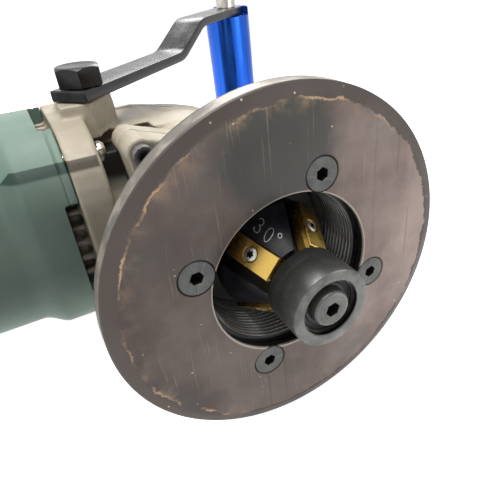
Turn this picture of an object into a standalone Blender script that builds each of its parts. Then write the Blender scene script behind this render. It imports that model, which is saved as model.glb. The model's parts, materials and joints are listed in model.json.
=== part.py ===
# Hand held edge beveling machine with a round guide plate and a cross handle.
#
# The tool frame has its origin at the centre of the guide plate's front face.
# +X runs along the motor axis towards the gear head's nose, +Y runs along the
# spindle away from the workpiece, and +Z runs along the bracket bolt.
# The whole tool is turned about Y to stand on its guide plate, its cross
# handle and the tail of its motor. All sizes are in metres.

import math

import bmesh
import bpy
from mathutils import Matrix, Vector

# Fits, cuts and mesh fineness
SEAT_GAP = 0.0003
CUT_OVERRUN = 0.002
FINE_STEPS = 56
ROUND_STEPS = 32
SMALL_STEPS = 16
SCREW_STEPS = 18
PILOT_STEPS = 24
TINY_STEPS = 12
CORNER_STEPS = 4
ROUND_CORNER_STEPS = 9
SHARP_ANGLE = math.radians(32)

# Guide plate and its countersunk screws
PLATE_RADIUS = 0.065
PLATE_THICKNESS = 0.008
PLATE_LIP_THICKNESS = 0.0032
PLATE_RIM_BEVEL_WIDTH = 0.0038
PLATE_RIM_BEVEL_DROP = 0.0011
PLATE_EDGE_CHAMFER = 0.0006
PLATE_SCREW_COUNT = 4
PLATE_SCREW_AZIMUTH = math.radians(160)
PLATE_SCREW_HEAD_RADIUS = 0.0061
PLATE_SCREW_RIM = 0.0006
PLATE_SCREW_SHANK_RADIUS = 0.0030
PLATE_SCREW_LENGTH = 0.0180
PLATE_SCREW_SOCKET_RADIUS = 0.0023
PLATE_SCREW_SOCKET_DEPTH = 0.0022
PLATE_SCREW_END_ROOM = 0.0010

# Depth collar, its inner thread, wiper ring and lock screw
COLLAR_OUTER_RADIUS = 0.0425
COLLAR_RADIUS_SHARES = {
    "plate_bore": 0.7176,
    "plate_register": 0.7765,
    "plate_screw_circle": 0.8612,
    "thread_crest": 0.6918,
    "sleeve_bore": 0.4824,
    "sleeve_flange": 0.9882,
}
COLLAR_NOSE_GAP = 0.0021
COLLAR_END_BACK = 0.0440
COLLAR_THREAD_DEPTH = 0.0010
COLLAR_THREAD_PITCH = 0.0020
COLLAR_THREAD_TURNS = 9
COLLAR_LAND_WIDTH = 0.0018
COLLAR_CHAMFER = 0.0008
WIPER_RING_WIDTH = 0.0036
WIPER_RING_WALL = 0.0036
LOCK_SCREW_AZIMUTH = math.radians(-60)
LOCK_SCREW_INSET = 0.0100
LOCK_SCREW_RADIUS = 0.0025
LOCK_SCREW_HEAD_RADIUS = 0.0043
LOCK_SCREW_HEAD_LENGTH = 0.0050
LOCK_SCREW_SOCKET_RADIUS = 0.0022
LOCK_SCREW_SOCKET_DEPTH = 0.0025

# Threaded sleeve that the depth collar turns on
SLEEVE_FRONT_BACK = 0.0300
SLEEVE_BARREL_END_ROOM = 0.0060
SLEEVE_FLANGE_THICKNESS = 0.0060

# Bearing cap between the sleeve and the gear head
CAP_THICKNESS = 0.0140
CAP_BORE_RADIUS = 0.0125
CAP_SPIGOT_LENGTH = 0.0040
CAP_MAIN_RADIUS = 0.0345
EAR_HEAD_CLEARANCE = 0.0002
EAR_RADIUS = 0.0058
EAR_AZIMUTH = math.radians(131)
EAR_SPREAD = math.radians(75)
EAR_STEPS = 7
CAP_SCREW_HEAD_RADIUS = 0.0043
CAP_SCREW_HEAD_LENGTH = 0.0050
CAP_SCREW_SHANK_RADIUS = 0.0025
CAP_SCREW_LENGTH = 0.0260
CAP_SCREW_SOCKET_RADIUS = 0.0022
CAP_SCREW_SOCKET_DEPTH = 0.0025
FRONT_BEARING_RADIUS = 0.0175
FRONT_BEARING_WIDTH = 0.0110
FRONT_BEARING_BORE_RADIUS = 0.0078

# Gear head casting
HEAD_FLANGE_DEPTH = 0.0095
CASE_RADIUS = 0.0342
CASE_WALL = 0.0040
CASE_REAR_DEPTH = 0.0340
CASE_REAR_ROUND = 0.0100
CAVITY_REAR_DEPTH = 0.0165
REAR_BEARING_RADIUS = 0.0080
REAR_BEARING_WIDTH = 0.0050
REAR_BEARING_BORE_RADIUS = 0.0053
MOTOR_NECK_RADIUS = 0.0270
MOTOR_NECK_ROOM = 0.0079
MOTOR_NECK_TAPER = 0.0017
SHAFT_HOLE_RADIUS = 0.0105
PAN_SCREW_POCKET_GAP = 0.0010
RIB_HALF_WIDTH = 0.0070
RIB_BOSS_DROP = 0.0010
RIB_CASE_RISE = 0.0005
RIB_HEIGHT = 0.0055

# Motor flange, shared by the gear head and the motor housing
SEAM_FRONT = -0.0563
FLANGE_THICKNESS = 0.0130
FLANGE_GROWTH = 0.0020
FLANGE_CORNER = 0.0310
FLANGE_PROUD = 0.0003
PAN_HEAD_RADIUS = 0.0041
PAN_HEAD_HEIGHT = 0.0027
PAN_HEAD_EDGE = 0.0012
PAN_SCREW_RADIUS = 0.0020
PAN_SCREW_LENGTH = 0.0280
VENT_WIDTH = 0.0400
VENT_DEPTH = 0.0058
VENT_CORNER = 0.0012
SPIGOT_LENGTH = 0.0055
SPIGOT_RIB_COUNT = 5
SPIGOT_RIB_PITCH = 0.0070
SPIGOT_RIB_WIDTH = 0.0022

# Motor housing, with the places and radii inside it in shares of its length and half width
HOUSING_LENGTH = 0.1322
HOUSING_LENGTH_SHARES = {
    "core_front": 0.2700,
    "core": 0.3782,
    "commutator_front": 0.7579,
    "commutator": 0.1286,
}
BODY_HALF = 0.0420
BODY_HALF_SHARES = {
    "flange_screw_side": 0.7143,
    "flange_screw_height": 0.7976,
    "fan_room": 0.9000,
    "core_room": 0.8524,
    "spigot_outer": 0.8214,
    "spigot_inner": 0.7500,
    "spigot_rib": 0.8929,
    "wire_hole_circle": 0.5714,
    "tail_post": 0.6905,
    "fan": 0.8214,
    "field_inner": 0.5857,
    "armature": 0.5667,
    "coil_inner": 0.6143,
    "coil_outer": 0.8214,
    "coil_bar": 0.7190,
    "winding": 0.5119,
    "winding_bar": 0.5381,
    "commutator": 0.3214,
    "brush_length": 0.3571,
    "holder_inner": 0.3929,
}
BODY_CORNER = 0.0360
FLANGE_LENGTH = 0.0167
FLARE_LENGTH = 0.0105
FAN_ROOM_DEPTH = 0.0287
REAR_WALL_THICKNESS = 0.0105
WIRE_HOLE_COUNT = 4
WIRE_HOLE_RADIUS = 0.0060

# Tail cover, with the places in it in shares of its length
TAIL_LENGTH = 0.0512
TAIL_LENGTH_SHARES = {
    "switch_middle": 0.4531,
    "switch": 0.7031,
    "slider_pad": 0.5078,
}
TAIL_GROWTH = 0.0005
TAIL_CORNER = 0.0300
TAIL_WALL = 0.0026
TAIL_POST_RADIUS = 0.0050
TAIL_SCREW_RADIUS = 0.0017
TAIL_SCREW_HEAD_RADIUS = 0.0032
TAIL_SCREW_HEAD_HEIGHT = 0.0024
TAIL_SCREW_REACH = 0.0065
TAIL_SCREW_SINK = 0.0060
GLAND_BORE_RADIUS = 0.0035
GLAND_NECK_RADIUS = 0.0062
GLAND_FLANGE_RADIUS = 0.0092
GLAND_FLANGE_THICKNESS = 0.0030

# Switch in the tail
SWITCH_WIDTH = 0.0200
SWITCH_DROP = 0.0225
SWITCH_BOTTOM = -0.0120
SLIDER_PAD_WIDTH = 0.0150
SLIDER_PAD_HEIGHT = 0.0042
SLIDER_STEM_LENGTH = 0.0070
SLIDER_STEM_WIDTH = 0.0090
SLIDER_TRAVEL = 0.0080
SLIDER_GRIP_COUNT = 4
SLIDER_GRIP_WIDTH = 0.0012
SLIDER_GRIP_DEPTH = 0.0009
CRADLE_HALF_WIDTH = 0.0080
CRADLE_LENGTH = 0.0240

# Armature, on the motor axis
FRONT_SHAFT_BEARING_RADIUS = 0.0140
FRONT_SHAFT_BEARING_WIDTH = 0.0080
SHAFT_RADIUS = 0.0060
SHAFT_NOSE_RADIUS = 0.0036
SHAFT_TAIL_RADIUS = 0.0040
SHAFT_FRONT = -0.0130
SHAFT_STEP_FRONT = -0.0325
REAR_SHAFT_BEARING_RADIUS = 0.0110
REAR_SHAFT_BEARING_WIDTH = 0.0070
FAN_SETBACK = 0.0072
FAN_LENGTH = 0.0145
FAN_DISC = 0.0016
FAN_HUB_RADIUS = 0.0110
FAN_BLADE_COUNT = 11
FAN_BLADE_THICKNESS = 0.0012
ARMATURE_SLOTS = 12
ARMATURE_SLOT_WIDTH = 0.0022
ARMATURE_SLOT_DEPTH = 0.0040
COIL_FRONT_LENGTH = 0.0068
COIL_REAR_LENGTH = 0.0100
COIL_BAR_WIDTH = 0.0090
WINDING_EDGE = 0.0025
WINDING_FRONT_LENGTH = 0.0075
WINDING_REAR_LENGTH = 0.0110
BRUSH_WIDTH = 0.0059
BRUSH_BREADTH = 0.0079
BRUSH_TRAVEL = 0.0035
HOLDER_WALL = 0.0010
CARRIER_RING_WALL = 0.0045

# Bevel gears
GEAR_TEETH = 37
PINION_TEETH = 11
GEAR_ROOM = 0.0025
GEAR_INNER_SHARE = 0.61
GEAR_FRONT_DEPTH = 0.0225
GEAR_RIM_DEPTH = 0.0170
GEAR_BORE_RADIUS = 0.0075
TOOTH_ADDENDUM_SHARE = 0.30
TOOTH_DEDENDUM_SHARE = 0.66
TOOTH_TIP_SHARE = 0.24
TOOTH_ROOT_SHARE = 0.46
LOCK_HOLE_COUNT = 4
LOCK_HOLE_CIRCLE = 0.0132
LOCK_HOLE_RADIUS = 0.0031
LOCK_HOLE_DEPTH = 0.0075
PINION_BORE_RADIUS = 0.0039

# Spindle
SPINDLE_NOSE_RADIUS = 0.0070
SPINDLE_NOSE_BACK = 0.0063
SPINDLE_SHOULDER_BACK = 0.0280
SPINDLE_SHOULDER_RADIUS = 0.0120
SPINDLE_SHOULDER_LENGTH = 0.0070
SPINDLE_BODY_RADIUS = 0.0098
SPINDLE_BEARING_RADIUS = 0.0075
SPINDLE_GEAR_RADIUS = 0.0072
SPINDLE_GEAR_END_DEPTH = 0.0040
SPINDLE_TAIL_RADIUS = 0.0050
SPINDLE_TAIL_DEPTH = 0.0215
SPINDLE_HOLE_RADIUS = 0.0035
SPINDLE_HOLE_BACK = 0.0400

# Cutter head with its inserts
CONE_ANGLE = math.radians(30)
CONE_SMALL_RADIUS = 0.01235
CONE_SMALL_BACK = -0.0026
CONE_BIG_BACK = 0.0135
CUTTER_BODY_BACK = 0.0180
CUTTER_HUB_RADIUS = 0.0140
CUTTER_NOSE_RADIUS = 0.0095
CUTTER_NOSE_LENGTH = 0.0031
INSERT_COUNT = 4
INSERT_AZIMUTH = math.radians(141)
INSERT_WIDTH = 0.0087
INSERT_LENGTH = 0.0198
INSERT_THICKNESS = 0.0058
INSERT_PROUD = 0.0009
INSERT_EDGE = 0.0004
GULLET_WIDTH = 0.0050
GULLET_SLOPE = 0.0012
GULLET_DEPTH = 0.0062
INSERT_SCREW_HEAD_RADIUS = 0.0024
INSERT_SCREW_SHANK_RADIUS = 0.0012
INSERT_SCREW_HEAD_DEPTH = 0.0014
INSERT_SCREW_LENGTH = 0.0086
INSERT_SCREW_SOCKET_RADIUS = 0.0014
INSERT_SCREW_SOCKET_DEPTH = 0.0010

# Guide roller in front of the cutter
ROLLER_RADIUS = 0.0140
ROLLER_FRONT_BACK = -0.0224
ROLLER_REAR_BACK = -0.0062
ROLLER_MOUTH_RADIUS = 0.0100
ROLLER_MOUTH_DEPTH = 0.0012
ROLLER_BORE_RADIUS = 0.0112
ROLLER_CHAMFER = 0.0006
RETAINER_BACK = -0.0203
RETAINER_THICKNESS = 0.0008
RETAINER_INNER_RADIUS = 0.0096
RETAINER_GROOVE_RADIUS = 0.0118
RETAINER_OPENING = math.radians(40)
RETAINER_AZIMUTH = math.radians(200)
ROLLER_BEARING_FRONT_BACK = -0.0189
ROLLER_BEARING_LENGTH = 0.0128
PILOT_SHOULDER_RADIUS = 0.0060
PILOT_SCREW_HEAD_RADIUS = 0.0064
PILOT_SCREW_PROUD = 0.0006
PILOT_SCREW_SHANK_RADIUS = 0.0032
PILOT_SCREW_END_BACK = 0.0380
PILOT_SCREW_SOCKET_RADIUS = 0.0026
PILOT_SCREW_SOCKET_DEPTH = 0.0032
PILOT_SCREW_CHAMFER = 0.0005

# Bracket bolt, bar and cross handle
BOLT_FORWARD = -0.0390
BOLT_OFFSET = 0.0045
BOLT_ACROSS_FLATS = 0.0170
BOLT_HEAD_HEIGHT = 0.0080
BOLT_RADIUS = 0.0050
BOLT_LENGTH = 0.0210
BOLT_HEX_TURN = math.radians(22)
BOLT_CROWN_SHARE = 0.90
BOSS_TOP = 0.0488
BOSS_HALF_LENGTH = 0.0115
BOSS_HALF_WIDTH = 0.0110
BOSS_FOOT_GROWTH = 0.0040
BOSS_FOOT = 0.0190
BAR_THICKNESS = 0.0046
BAR_WIDTH = 0.0174
BAR_AZIMUTH = math.radians(42)
BAR_END_OVERHANG = 0.0097
BAR_FIRST_BEND = 0.0750
BAR_SECOND_BEND = 0.1035
BAR_RISE = 0.0130
BAR_END_CHAMFER = 0.0010
HANDLE_REACH = 0.1565
HANDLE_RADIUS = 0.0145
HANDLE_LIP_START = 0.0070
HANDLE_CHAMFER = 0.0010
HANDLE_SCREW_RADIUS = 0.0040
HANDLE_SCREW_HEAD_RADIUS = 0.0062
HANDLE_SCREW_HEAD_HEIGHT = 0.0080
HANDLE_SCREW_LENGTH = 0.0240
HANDLE_SCREW_SOCKET_RADIUS = 0.0036
HANDLE_SCREW_SOCKET_DEPTH = 0.0040

# Spindle lock button
BUTTON_RADIUS = 0.0065
BUTTON_HEIGHT = 0.0052
BUTTON_TRAVEL = 0.0050
BUTTON_TOP_STAND = 0.0108
BUTTON_ROUND = 0.0008
BUTTON_BOSS_RADIUS = 0.0095
BUTTON_BOSS_HEIGHT = 0.0080
BUTTON_FLOOR = 0.0005
LOCK_PIN_RADIUS = 0.0022
LOCK_PIN_TIP_RISE = 0.0004

# Finishes: red, green, blue, roughness and metallic
FINISHES = {
    "sage_plastic": (0.30, 0.37, 0.31, 0.55, 0.0),
    "cast_alloy": (0.45, 0.40, 0.32, 0.42, 0.55),
    "plate_steel": (0.16, 0.13, 0.12, 0.40, 0.85),
    "black_oxide": (0.03, 0.03, 0.032, 0.38, 0.80),
    "ground_steel": (0.20, 0.20, 0.19, 0.33, 0.90),
    "zinc_steel": (0.60, 0.55, 0.45, 0.30, 0.95),
    "gold_carbide": (0.80, 0.52, 0.10, 0.28, 0.90),
    "blue_anodised": (0.02, 0.12, 0.62, 0.30, 0.75),
    "bearing_steel": (0.55, 0.55, 0.56, 0.22, 1.0),
    "core_steel": (0.25, 0.25, 0.26, 0.45, 0.8),
    "copper_wire": (0.65, 0.28, 0.12, 0.40, 0.9),
    "brass": (0.70, 0.50, 0.20, 0.35, 1.0),
    "black_plastic": (0.03, 0.03, 0.03, 0.50, 0.0),
    "black_rubber": (0.02, 0.02, 0.02, 0.80, 0.0),
    "carbon": (0.04, 0.04, 0.045, 0.60, 0.2),
}

# Ways to lay a shape's own Z axis along an axis of the tool
ALONG_X = Matrix(((0, 0, 1, 0), (1, 0, 0, 0), (0, 1, 0, 0), (0, 0, 0, 1)))
ALONG_Y = Matrix.Rotation(-math.pi / 2, 4, "X")
ALONG_Z = Matrix.Identity(4)

# Places worked out from the sizes above
PLATE_BORE_RADIUS = COLLAR_OUTER_RADIUS * COLLAR_RADIUS_SHARES["plate_bore"]
PLATE_REGISTER_RADIUS = COLLAR_OUTER_RADIUS * COLLAR_RADIUS_SHARES["plate_register"]
PLATE_SCREW_CIRCLE = COLLAR_OUTER_RADIUS * COLLAR_RADIUS_SHARES["plate_screw_circle"]
COLLAR_THREAD_CREST_RADIUS = COLLAR_OUTER_RADIUS * COLLAR_RADIUS_SHARES["thread_crest"]
SLEEVE_BORE_RADIUS = COLLAR_OUTER_RADIUS * COLLAR_RADIUS_SHARES["sleeve_bore"]
SLEEVE_FLANGE_RADIUS = COLLAR_OUTER_RADIUS * COLLAR_RADIUS_SHARES["sleeve_flange"]
EAR_CIRCLE = SLEEVE_FLANGE_RADIUS + CAP_SCREW_HEAD_RADIUS + EAR_HEAD_CLEARANCE
COLLAR_NOSE_BACK = PLATE_LIP_THICKNESS + COLLAR_NOSE_GAP
COLLAR_FLANGE_BACK = PLATE_THICKNESS + SEAT_GAP
COLLAR_THREAD_ROOT_RADIUS = COLLAR_THREAD_CREST_RADIUS + COLLAR_THREAD_DEPTH
WIPER_GROOVE_RADIUS = COLLAR_THREAD_CREST_RADIUS + WIPER_RING_WALL + SEAT_GAP
WIPER_GROOVE_FRONT = COLLAR_END_BACK - WIPER_RING_WIDTH - SEAT_GAP
LOCK_SCREW_BACK = COLLAR_END_BACK - LOCK_SCREW_INSET
SLEEVE_BARREL_RADIUS = COLLAR_THREAD_CREST_RADIUS - SEAT_GAP
SLEEVE_BARREL_END_BACK = COLLAR_END_BACK + SLEEVE_BARREL_END_ROOM
SLEEVE_REAR_BACK = SLEEVE_BARREL_END_BACK + SLEEVE_FLANGE_THICKNESS
CAP_FRONT_BACK = SLEEVE_REAR_BACK + SEAT_GAP
CAP_REAR_BACK = CAP_FRONT_BACK + CAP_THICKNESS
HEAD_FRONT_BACK = CAP_REAR_BACK + SEAT_GAP
HEAD_FLANGE_REAR_BACK = HEAD_FRONT_BACK + HEAD_FLANGE_DEPTH
MOTOR_AXIS_BACK = HEAD_FRONT_BACK + MOTOR_NECK_ROOM + MOTOR_NECK_RADIUS
CASE_REAR_BACK = MOTOR_AXIS_BACK + CASE_REAR_DEPTH
CAVITY_REAR_BACK = MOTOR_AXIS_BACK + CAVITY_REAR_DEPTH
CAVITY_RADIUS = CASE_RADIUS - CASE_WALL
RIB_CASE_TOP = CASE_RADIUS + RIB_CASE_RISE
RIB_CASE_FOOT = RIB_CASE_TOP - RIB_HEIGHT
MOTOR_NECK_NOSE_RADIUS = MOTOR_NECK_RADIUS - MOTOR_NECK_TAPER
BOLT_BACK = MOTOR_AXIS_BACK - BOLT_OFFSET
GEAR_OUTER_RADIUS = CAVITY_RADIUS - GEAR_ROOM
GEAR_INNER_RADIUS = GEAR_OUTER_RADIUS * GEAR_INNER_SHARE
GEAR_BACK = MOTOR_AXIS_BACK - GEAR_FRONT_DEPTH
GEAR_RIM_BACK = MOTOR_AXIS_BACK - GEAR_RIM_DEPTH
SPINDLE_GEAR_END_BACK = MOTOR_AXIS_BACK + SPINDLE_GEAR_END_DEPTH
SPINDLE_TAIL_BACK = MOTOR_AXIS_BACK + SPINDLE_TAIL_DEPTH
LOCK_PIN_TIP_BACK = MOTOR_AXIS_BACK + LOCK_PIN_TIP_RISE
CONE_BIG_RADIUS = CONE_SMALL_RADIUS + (CONE_BIG_BACK - CONE_SMALL_BACK) * math.tan(CONE_ANGLE)
FLANGE_REAR = SEAM_FRONT + SEAT_GAP
FLANGE_FRONT = SEAM_FRONT + FLANGE_THICKNESS
FLANGE_HALF = BODY_HALF + FLANGE_GROWTH
FLANGE_SCREW_SIDE = BODY_HALF * BODY_HALF_SHARES["flange_screw_side"]
FLANGE_SCREW_HEIGHT = BODY_HALF * BODY_HALF_SHARES["flange_screw_height"]
SPIGOT_OUTER_RADIUS = BODY_HALF * BODY_HALF_SHARES["spigot_outer"]
SPIGOT_INNER_RADIUS = BODY_HALF * BODY_HALF_SHARES["spigot_inner"]
SPIGOT_RIB_REACH = BODY_HALF * BODY_HALF_SHARES["spigot_rib"]
PINION_OUTER_RADIUS = GEAR_OUTER_RADIUS * PINION_TEETH / GEAR_TEETH
BAR_TOP = BOSS_TOP + SEAT_GAP + BAR_THICKNESS
HANDLE_TOP = BAR_TOP + BAR_RISE
FLARE_START = SEAM_FRONT - FLANGE_LENGTH
BODY_START = FLARE_START - FLARE_LENGTH
HOUSING_END = SEAM_FRONT - HOUSING_LENGTH
FAN_ROOM_END = SEAM_FRONT - FAN_ROOM_DEPTH
FAN_ROOM_RADIUS = BODY_HALF * BODY_HALF_SHARES["fan_room"]
CORE_ROOM_RADIUS = BODY_HALF * BODY_HALF_SHARES["core_room"]
WIRE_HOLE_CIRCLE = BODY_HALF * BODY_HALF_SHARES["wire_hole_circle"]
TAIL_START = HOUSING_END - SEAT_GAP
TAIL_END = TAIL_START - TAIL_LENGTH
TAIL_HALF = BODY_HALF + TAIL_GROWTH
TAIL_POST_HEIGHT = -BODY_HALF * BODY_HALF_SHARES["tail_post"]
TAIL_SCREW_TIP = HOUSING_END + TAIL_SCREW_REACH
SWITCH_FORWARD = TAIL_START - TAIL_LENGTH * TAIL_LENGTH_SHARES["switch_middle"]
SWITCH_LENGTH = TAIL_LENGTH * TAIL_LENGTH_SHARES["switch"]
SLIDER_PAD_LENGTH = TAIL_LENGTH * TAIL_LENGTH_SHARES["slider_pad"]
SWITCH_TOP = TAIL_HALF - SWITCH_DROP
FAN_FRONT = SEAM_FRONT - FAN_SETBACK
FAN_RADIUS = BODY_HALF * BODY_HALF_SHARES["fan"]
CORE_FRONT = SEAM_FRONT - HOUSING_LENGTH * HOUSING_LENGTH_SHARES["core_front"]
CORE_LENGTH = HOUSING_LENGTH * HOUSING_LENGTH_SHARES["core"]
FIELD_INNER_RADIUS = BODY_HALF * BODY_HALF_SHARES["field_inner"]
ARMATURE_RADIUS = BODY_HALF * BODY_HALF_SHARES["armature"]
COIL_INNER_RADIUS = BODY_HALF * BODY_HALF_SHARES["coil_inner"]
COIL_OUTER_RADIUS = BODY_HALF * BODY_HALF_SHARES["coil_outer"]
COIL_BAR_REACH = BODY_HALF * BODY_HALF_SHARES["coil_bar"]
WINDING_RADIUS = BODY_HALF * BODY_HALF_SHARES["winding"]
WINDING_BAR_REACH = BODY_HALF * BODY_HALF_SHARES["winding_bar"]
COMMUTATOR_FRONT = SEAM_FRONT - HOUSING_LENGTH * HOUSING_LENGTH_SHARES["commutator_front"]
COMMUTATOR_LENGTH = HOUSING_LENGTH * HOUSING_LENGTH_SHARES["commutator"]
COMMUTATOR_RADIUS = BODY_HALF * BODY_HALF_SHARES["commutator"]
BRUSH_LENGTH = BODY_HALF * BODY_HALF_SHARES["brush_length"]
HOLDER_INNER_REACH = BODY_HALF * BODY_HALF_SHARES["holder_inner"]
REAR_WALL_FRONT = HOUSING_END + REAR_WALL_THICKNESS


def around(radius, azimuth, back):
    """A point at an azimuth from +X towards +Z about the spindle axis."""
    return Vector((radius * math.cos(azimuth), back, radius * math.sin(azimuth)))


def spaced(first, count):
    """Equal azimuths round a full turn."""
    return [first + math.tau * step / count for step in range(count)]


def regular(sides, radius, turn=0.0):
    """The corners of a regular polygon."""
    return [
        (radius * math.cos(turn + math.tau * k / sides), radius * math.sin(turn + math.tau * k / sides))
        for k in range(sides)
    ]


def hexagon(corner_radius, steps):
    """Points on a hexagon at equal turns, so that it matches a round outline."""
    points = []
    for step in range(steps):
        angle = math.tau * step / steps
        from_flat = (angle % (math.pi / 3)) - math.pi / 6
        radius = corner_radius * math.cos(math.pi / 6) / math.cos(from_flat)
        points.append((radius * math.cos(angle), radius * math.sin(angle)))
    return points


def rectangle(half_u, half_v, centre_u=0.0, centre_v=0.0):
    """A rectangle given by its half sizes and its centre."""
    return [
        (centre_u - half_u, centre_v - half_v),
        (centre_u + half_u, centre_v - half_v),
        (centre_u + half_u, centre_v + half_v),
        (centre_u - half_u, centre_v + half_v),
    ]


def square_section(half, corner):
    """A square with rounded corners."""
    centre = half - corner
    quarter = []
    for step in range(ROUND_CORNER_STEPS + 1):
        angle = math.pi / 2 * step / ROUND_CORNER_STEPS
        quarter.append((centre + corner * math.cos(angle), centre + corner * math.sin(angle)))
    points = []
    for turn in range(4):
        cos, sin = round(math.cos(turn * math.pi / 2)), round(math.sin(turn * math.pi / 2))
        points += [(u * cos - v * sin, u * sin + v * cos) for u, v in quarter]
    return points


def ear_azimuths():
    """The four ears' azimuths, the same on both sides of the motor axis."""
    return [math.pi - EAR_AZIMUTH, EAR_AZIMUTH, math.tau - EAR_AZIMUTH, math.pi + EAR_AZIMUTH]


def eared_outline(main_radius, ear_radius):
    """A round flange with four round ears, about the spindle axis."""
    points = []
    spread = EAR_SPREAD
    azimuths = ear_azimuths()
    for azimuth, following in zip(azimuths, azimuths[1:] + [azimuths[0] + math.tau]):
        centre = (EAR_CIRCLE * math.cos(azimuth), EAR_CIRCLE * math.sin(azimuth))
        for step in range(EAR_STEPS):
            angle = azimuth - spread + 2 * spread * step / (EAR_STEPS - 1)
            points.append((centre[0] + ear_radius * math.cos(angle),
                           centre[1] + ear_radius * math.sin(angle)))
        for step in range(1, EAR_STEPS - 1):
            angle = azimuth + (following - azimuth) * (1 / 4 + step / (EAR_STEPS - 1) / 2)
            points.append((main_radius * math.cos(angle), main_radius * math.sin(angle)))
    return [(u, -v) for u, v in reversed(points)]


def join_rings(bm, loops, closed):
    """Faces between rings of equal count, with flat ends unless the last meets the first."""
    pairs = list(zip(loops, loops[1:]))
    if closed:
        pairs.append((loops[-1], loops[0]))
    for lower, upper in pairs:
        count = len(lower)
        for k in range(count):
            bm.faces.new((lower[k], lower[(k + 1) % count], upper[(k + 1) % count], upper[k]))
    if not closed:
        bm.faces.new(list(reversed(loops[0])))
        bm.faces.new(loops[-1])


def add_turned(bm, profile, matrix=ALONG_Z, steps=ROUND_STEPS):
    """Revolve a profile of (radius, along) points about the shape's own Z axis."""
    closed = profile[0][0] > 0
    loops = [
        [bm.verts.new(matrix @ Vector((u, v, along))) for u, v in regular(steps, radius)]
        for radius, along in profile if radius > 0
    ]
    join_rings(bm, loops, closed)


def add_loft(bm, sections, matrix=ALONG_Z):
    """Join outlines of equal count, each at its own height, into a closed solid."""
    loops = [
        [bm.verts.new(matrix @ Vector((u, v, along))) for u, v in outline]
        for along, outline in sections
    ]
    join_rings(bm, loops, False)


def add_prism(bm, outline, low, high, matrix=ALONG_Z):
    """Extrude an outline between two heights."""
    add_loft(bm, [(low, outline), (high, outline)], matrix)


def add_box(bm, low, high):
    """A box between two opposite corners."""
    outline = [(low[0], low[1]), (high[0], low[1]), (high[0], high[1]), (low[0], high[1])]
    add_prism(bm, outline, low[2], high[2])


def make_finish(name, slot):
    """A Principled material of its own for one piece."""
    red, green, blue, roughness, metallic = FINISHES[slot]
    finish = bpy.data.materials.new(name + "_finish")
    finish.use_nodes = True
    shader = finish.node_tree.nodes["Principled BSDF"]
    shader.inputs["Base Color"].default_value = (red, green, blue, 1)
    shader.inputs["Roughness"].default_value = roughness
    shader.inputs["Metallic"].default_value = metallic
    return finish


def finish_piece(name, bm, slot, body):
    """Turn the shapes built so far into one named object that rides on a body's empty."""
    bmesh.ops.recalc_face_normals(bm, faces=bm.faces)
    mesh = bpy.data.meshes.new(name)
    bm.to_mesh(mesh)
    bm.free()
    mesh.shade_smooth()
    mesh.set_sharp_from_angle(angle=SHARP_ANGLE)
    piece = bpy.data.objects.new(name, mesh)
    bpy.context.scene.collection.objects.link(piece)
    piece.parent = body
    if slot:
        mesh.materials.append(make_finish(name, slot))
    return piece


def turned(name, profile, slot, body, matrix=ALONG_Z, steps=ROUND_STEPS):
    """One turned piece."""
    bm = bmesh.new()
    add_turned(bm, profile, matrix, steps)
    return finish_piece(name, bm, slot, body)


def socket_screw(name, profile, socket_radius, socket_depth, slot, body, matrix, steps=SMALL_STEPS):
    """A screw given by (radius, along) points from its tip to its head, with a hexagon socket."""
    sections = [(along, regular(steps, radius)) for radius, along in profile]
    top = profile[-1][1]
    inward = -1 if top > profile[0][1] else 1
    socket = hexagon(socket_radius, steps)
    sections += [(top, socket), (top + inward * socket_depth, socket)]
    bm = bmesh.new()
    add_loft(bm, sections, matrix)
    return finish_piece(name, bm, slot, body)


def shape(piece, tool_name, bm, operation="DIFFERENCE"):
    """Cut the shapes in bm from a piece, or unite them with it, by a Boolean."""
    tool = finish_piece(tool_name, bm, None, piece.parent)
    tool.hide_render = True
    tool.display_type = "WIRE"
    step = piece.modifiers.new(tool_name, "BOOLEAN")
    step.object = tool
    step.operation = operation
    step.solver = "EXACT"
    return tool


def tube(inner, outer, low, high):
    """The profile of a plain tube."""
    return [(inner, low), (outer, low), (outer, high), (inner, high)]


def rod(radius, low, high):
    """The profile of a solid rod."""
    return [(0, low), (radius, low), (radius, high), (0, high)]


def headed(shank_radius, tip, head_radius, seat, top):
    """A cylinder-head screw from its tip to the top of its head."""
    return [(shank_radius, tip), (shank_radius, seat), (head_radius, seat), (head_radius, top)]


def countersunk(shank_radius, tip, head_radius, rim, top, gap=0.0):
    """A screw with a 90 degree countersunk head, from its tip to its head, grown by a gap."""
    cone_end = top + rim + head_radius - shank_radius
    return [
        (shank_radius + gap, tip), (shank_radius + gap, cone_end), (head_radius + gap, top + rim),
        (head_radius + gap, top),
    ]


def plugged(profile):
    """A screw's profile closed on its axis, for cutting its hole."""
    return [(0, profile[0][1])] + profile + [(0, profile[-1][1])]


def body_empty(name, parent, place=(0, 0, 0)):
    """An empty that carries the pieces of one body, on that body's joint axis."""
    empty = bpy.data.objects.new(name, None)
    bpy.context.scene.collection.objects.link(empty)
    empty.parent = parent
    empty.location = place
    return empty


def facing(place, azimuth):
    """A frame at a place about the spindle whose own Z axis points outward at an azimuth."""
    outward = Vector((math.cos(azimuth), 0, math.sin(azimuth)))
    back = Vector((0, 1, 0))
    side = back.cross(outward)
    turn = Matrix((back, side, outward)).transposed().to_4x4()
    return Matrix.Translation(place) @ turn


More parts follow.
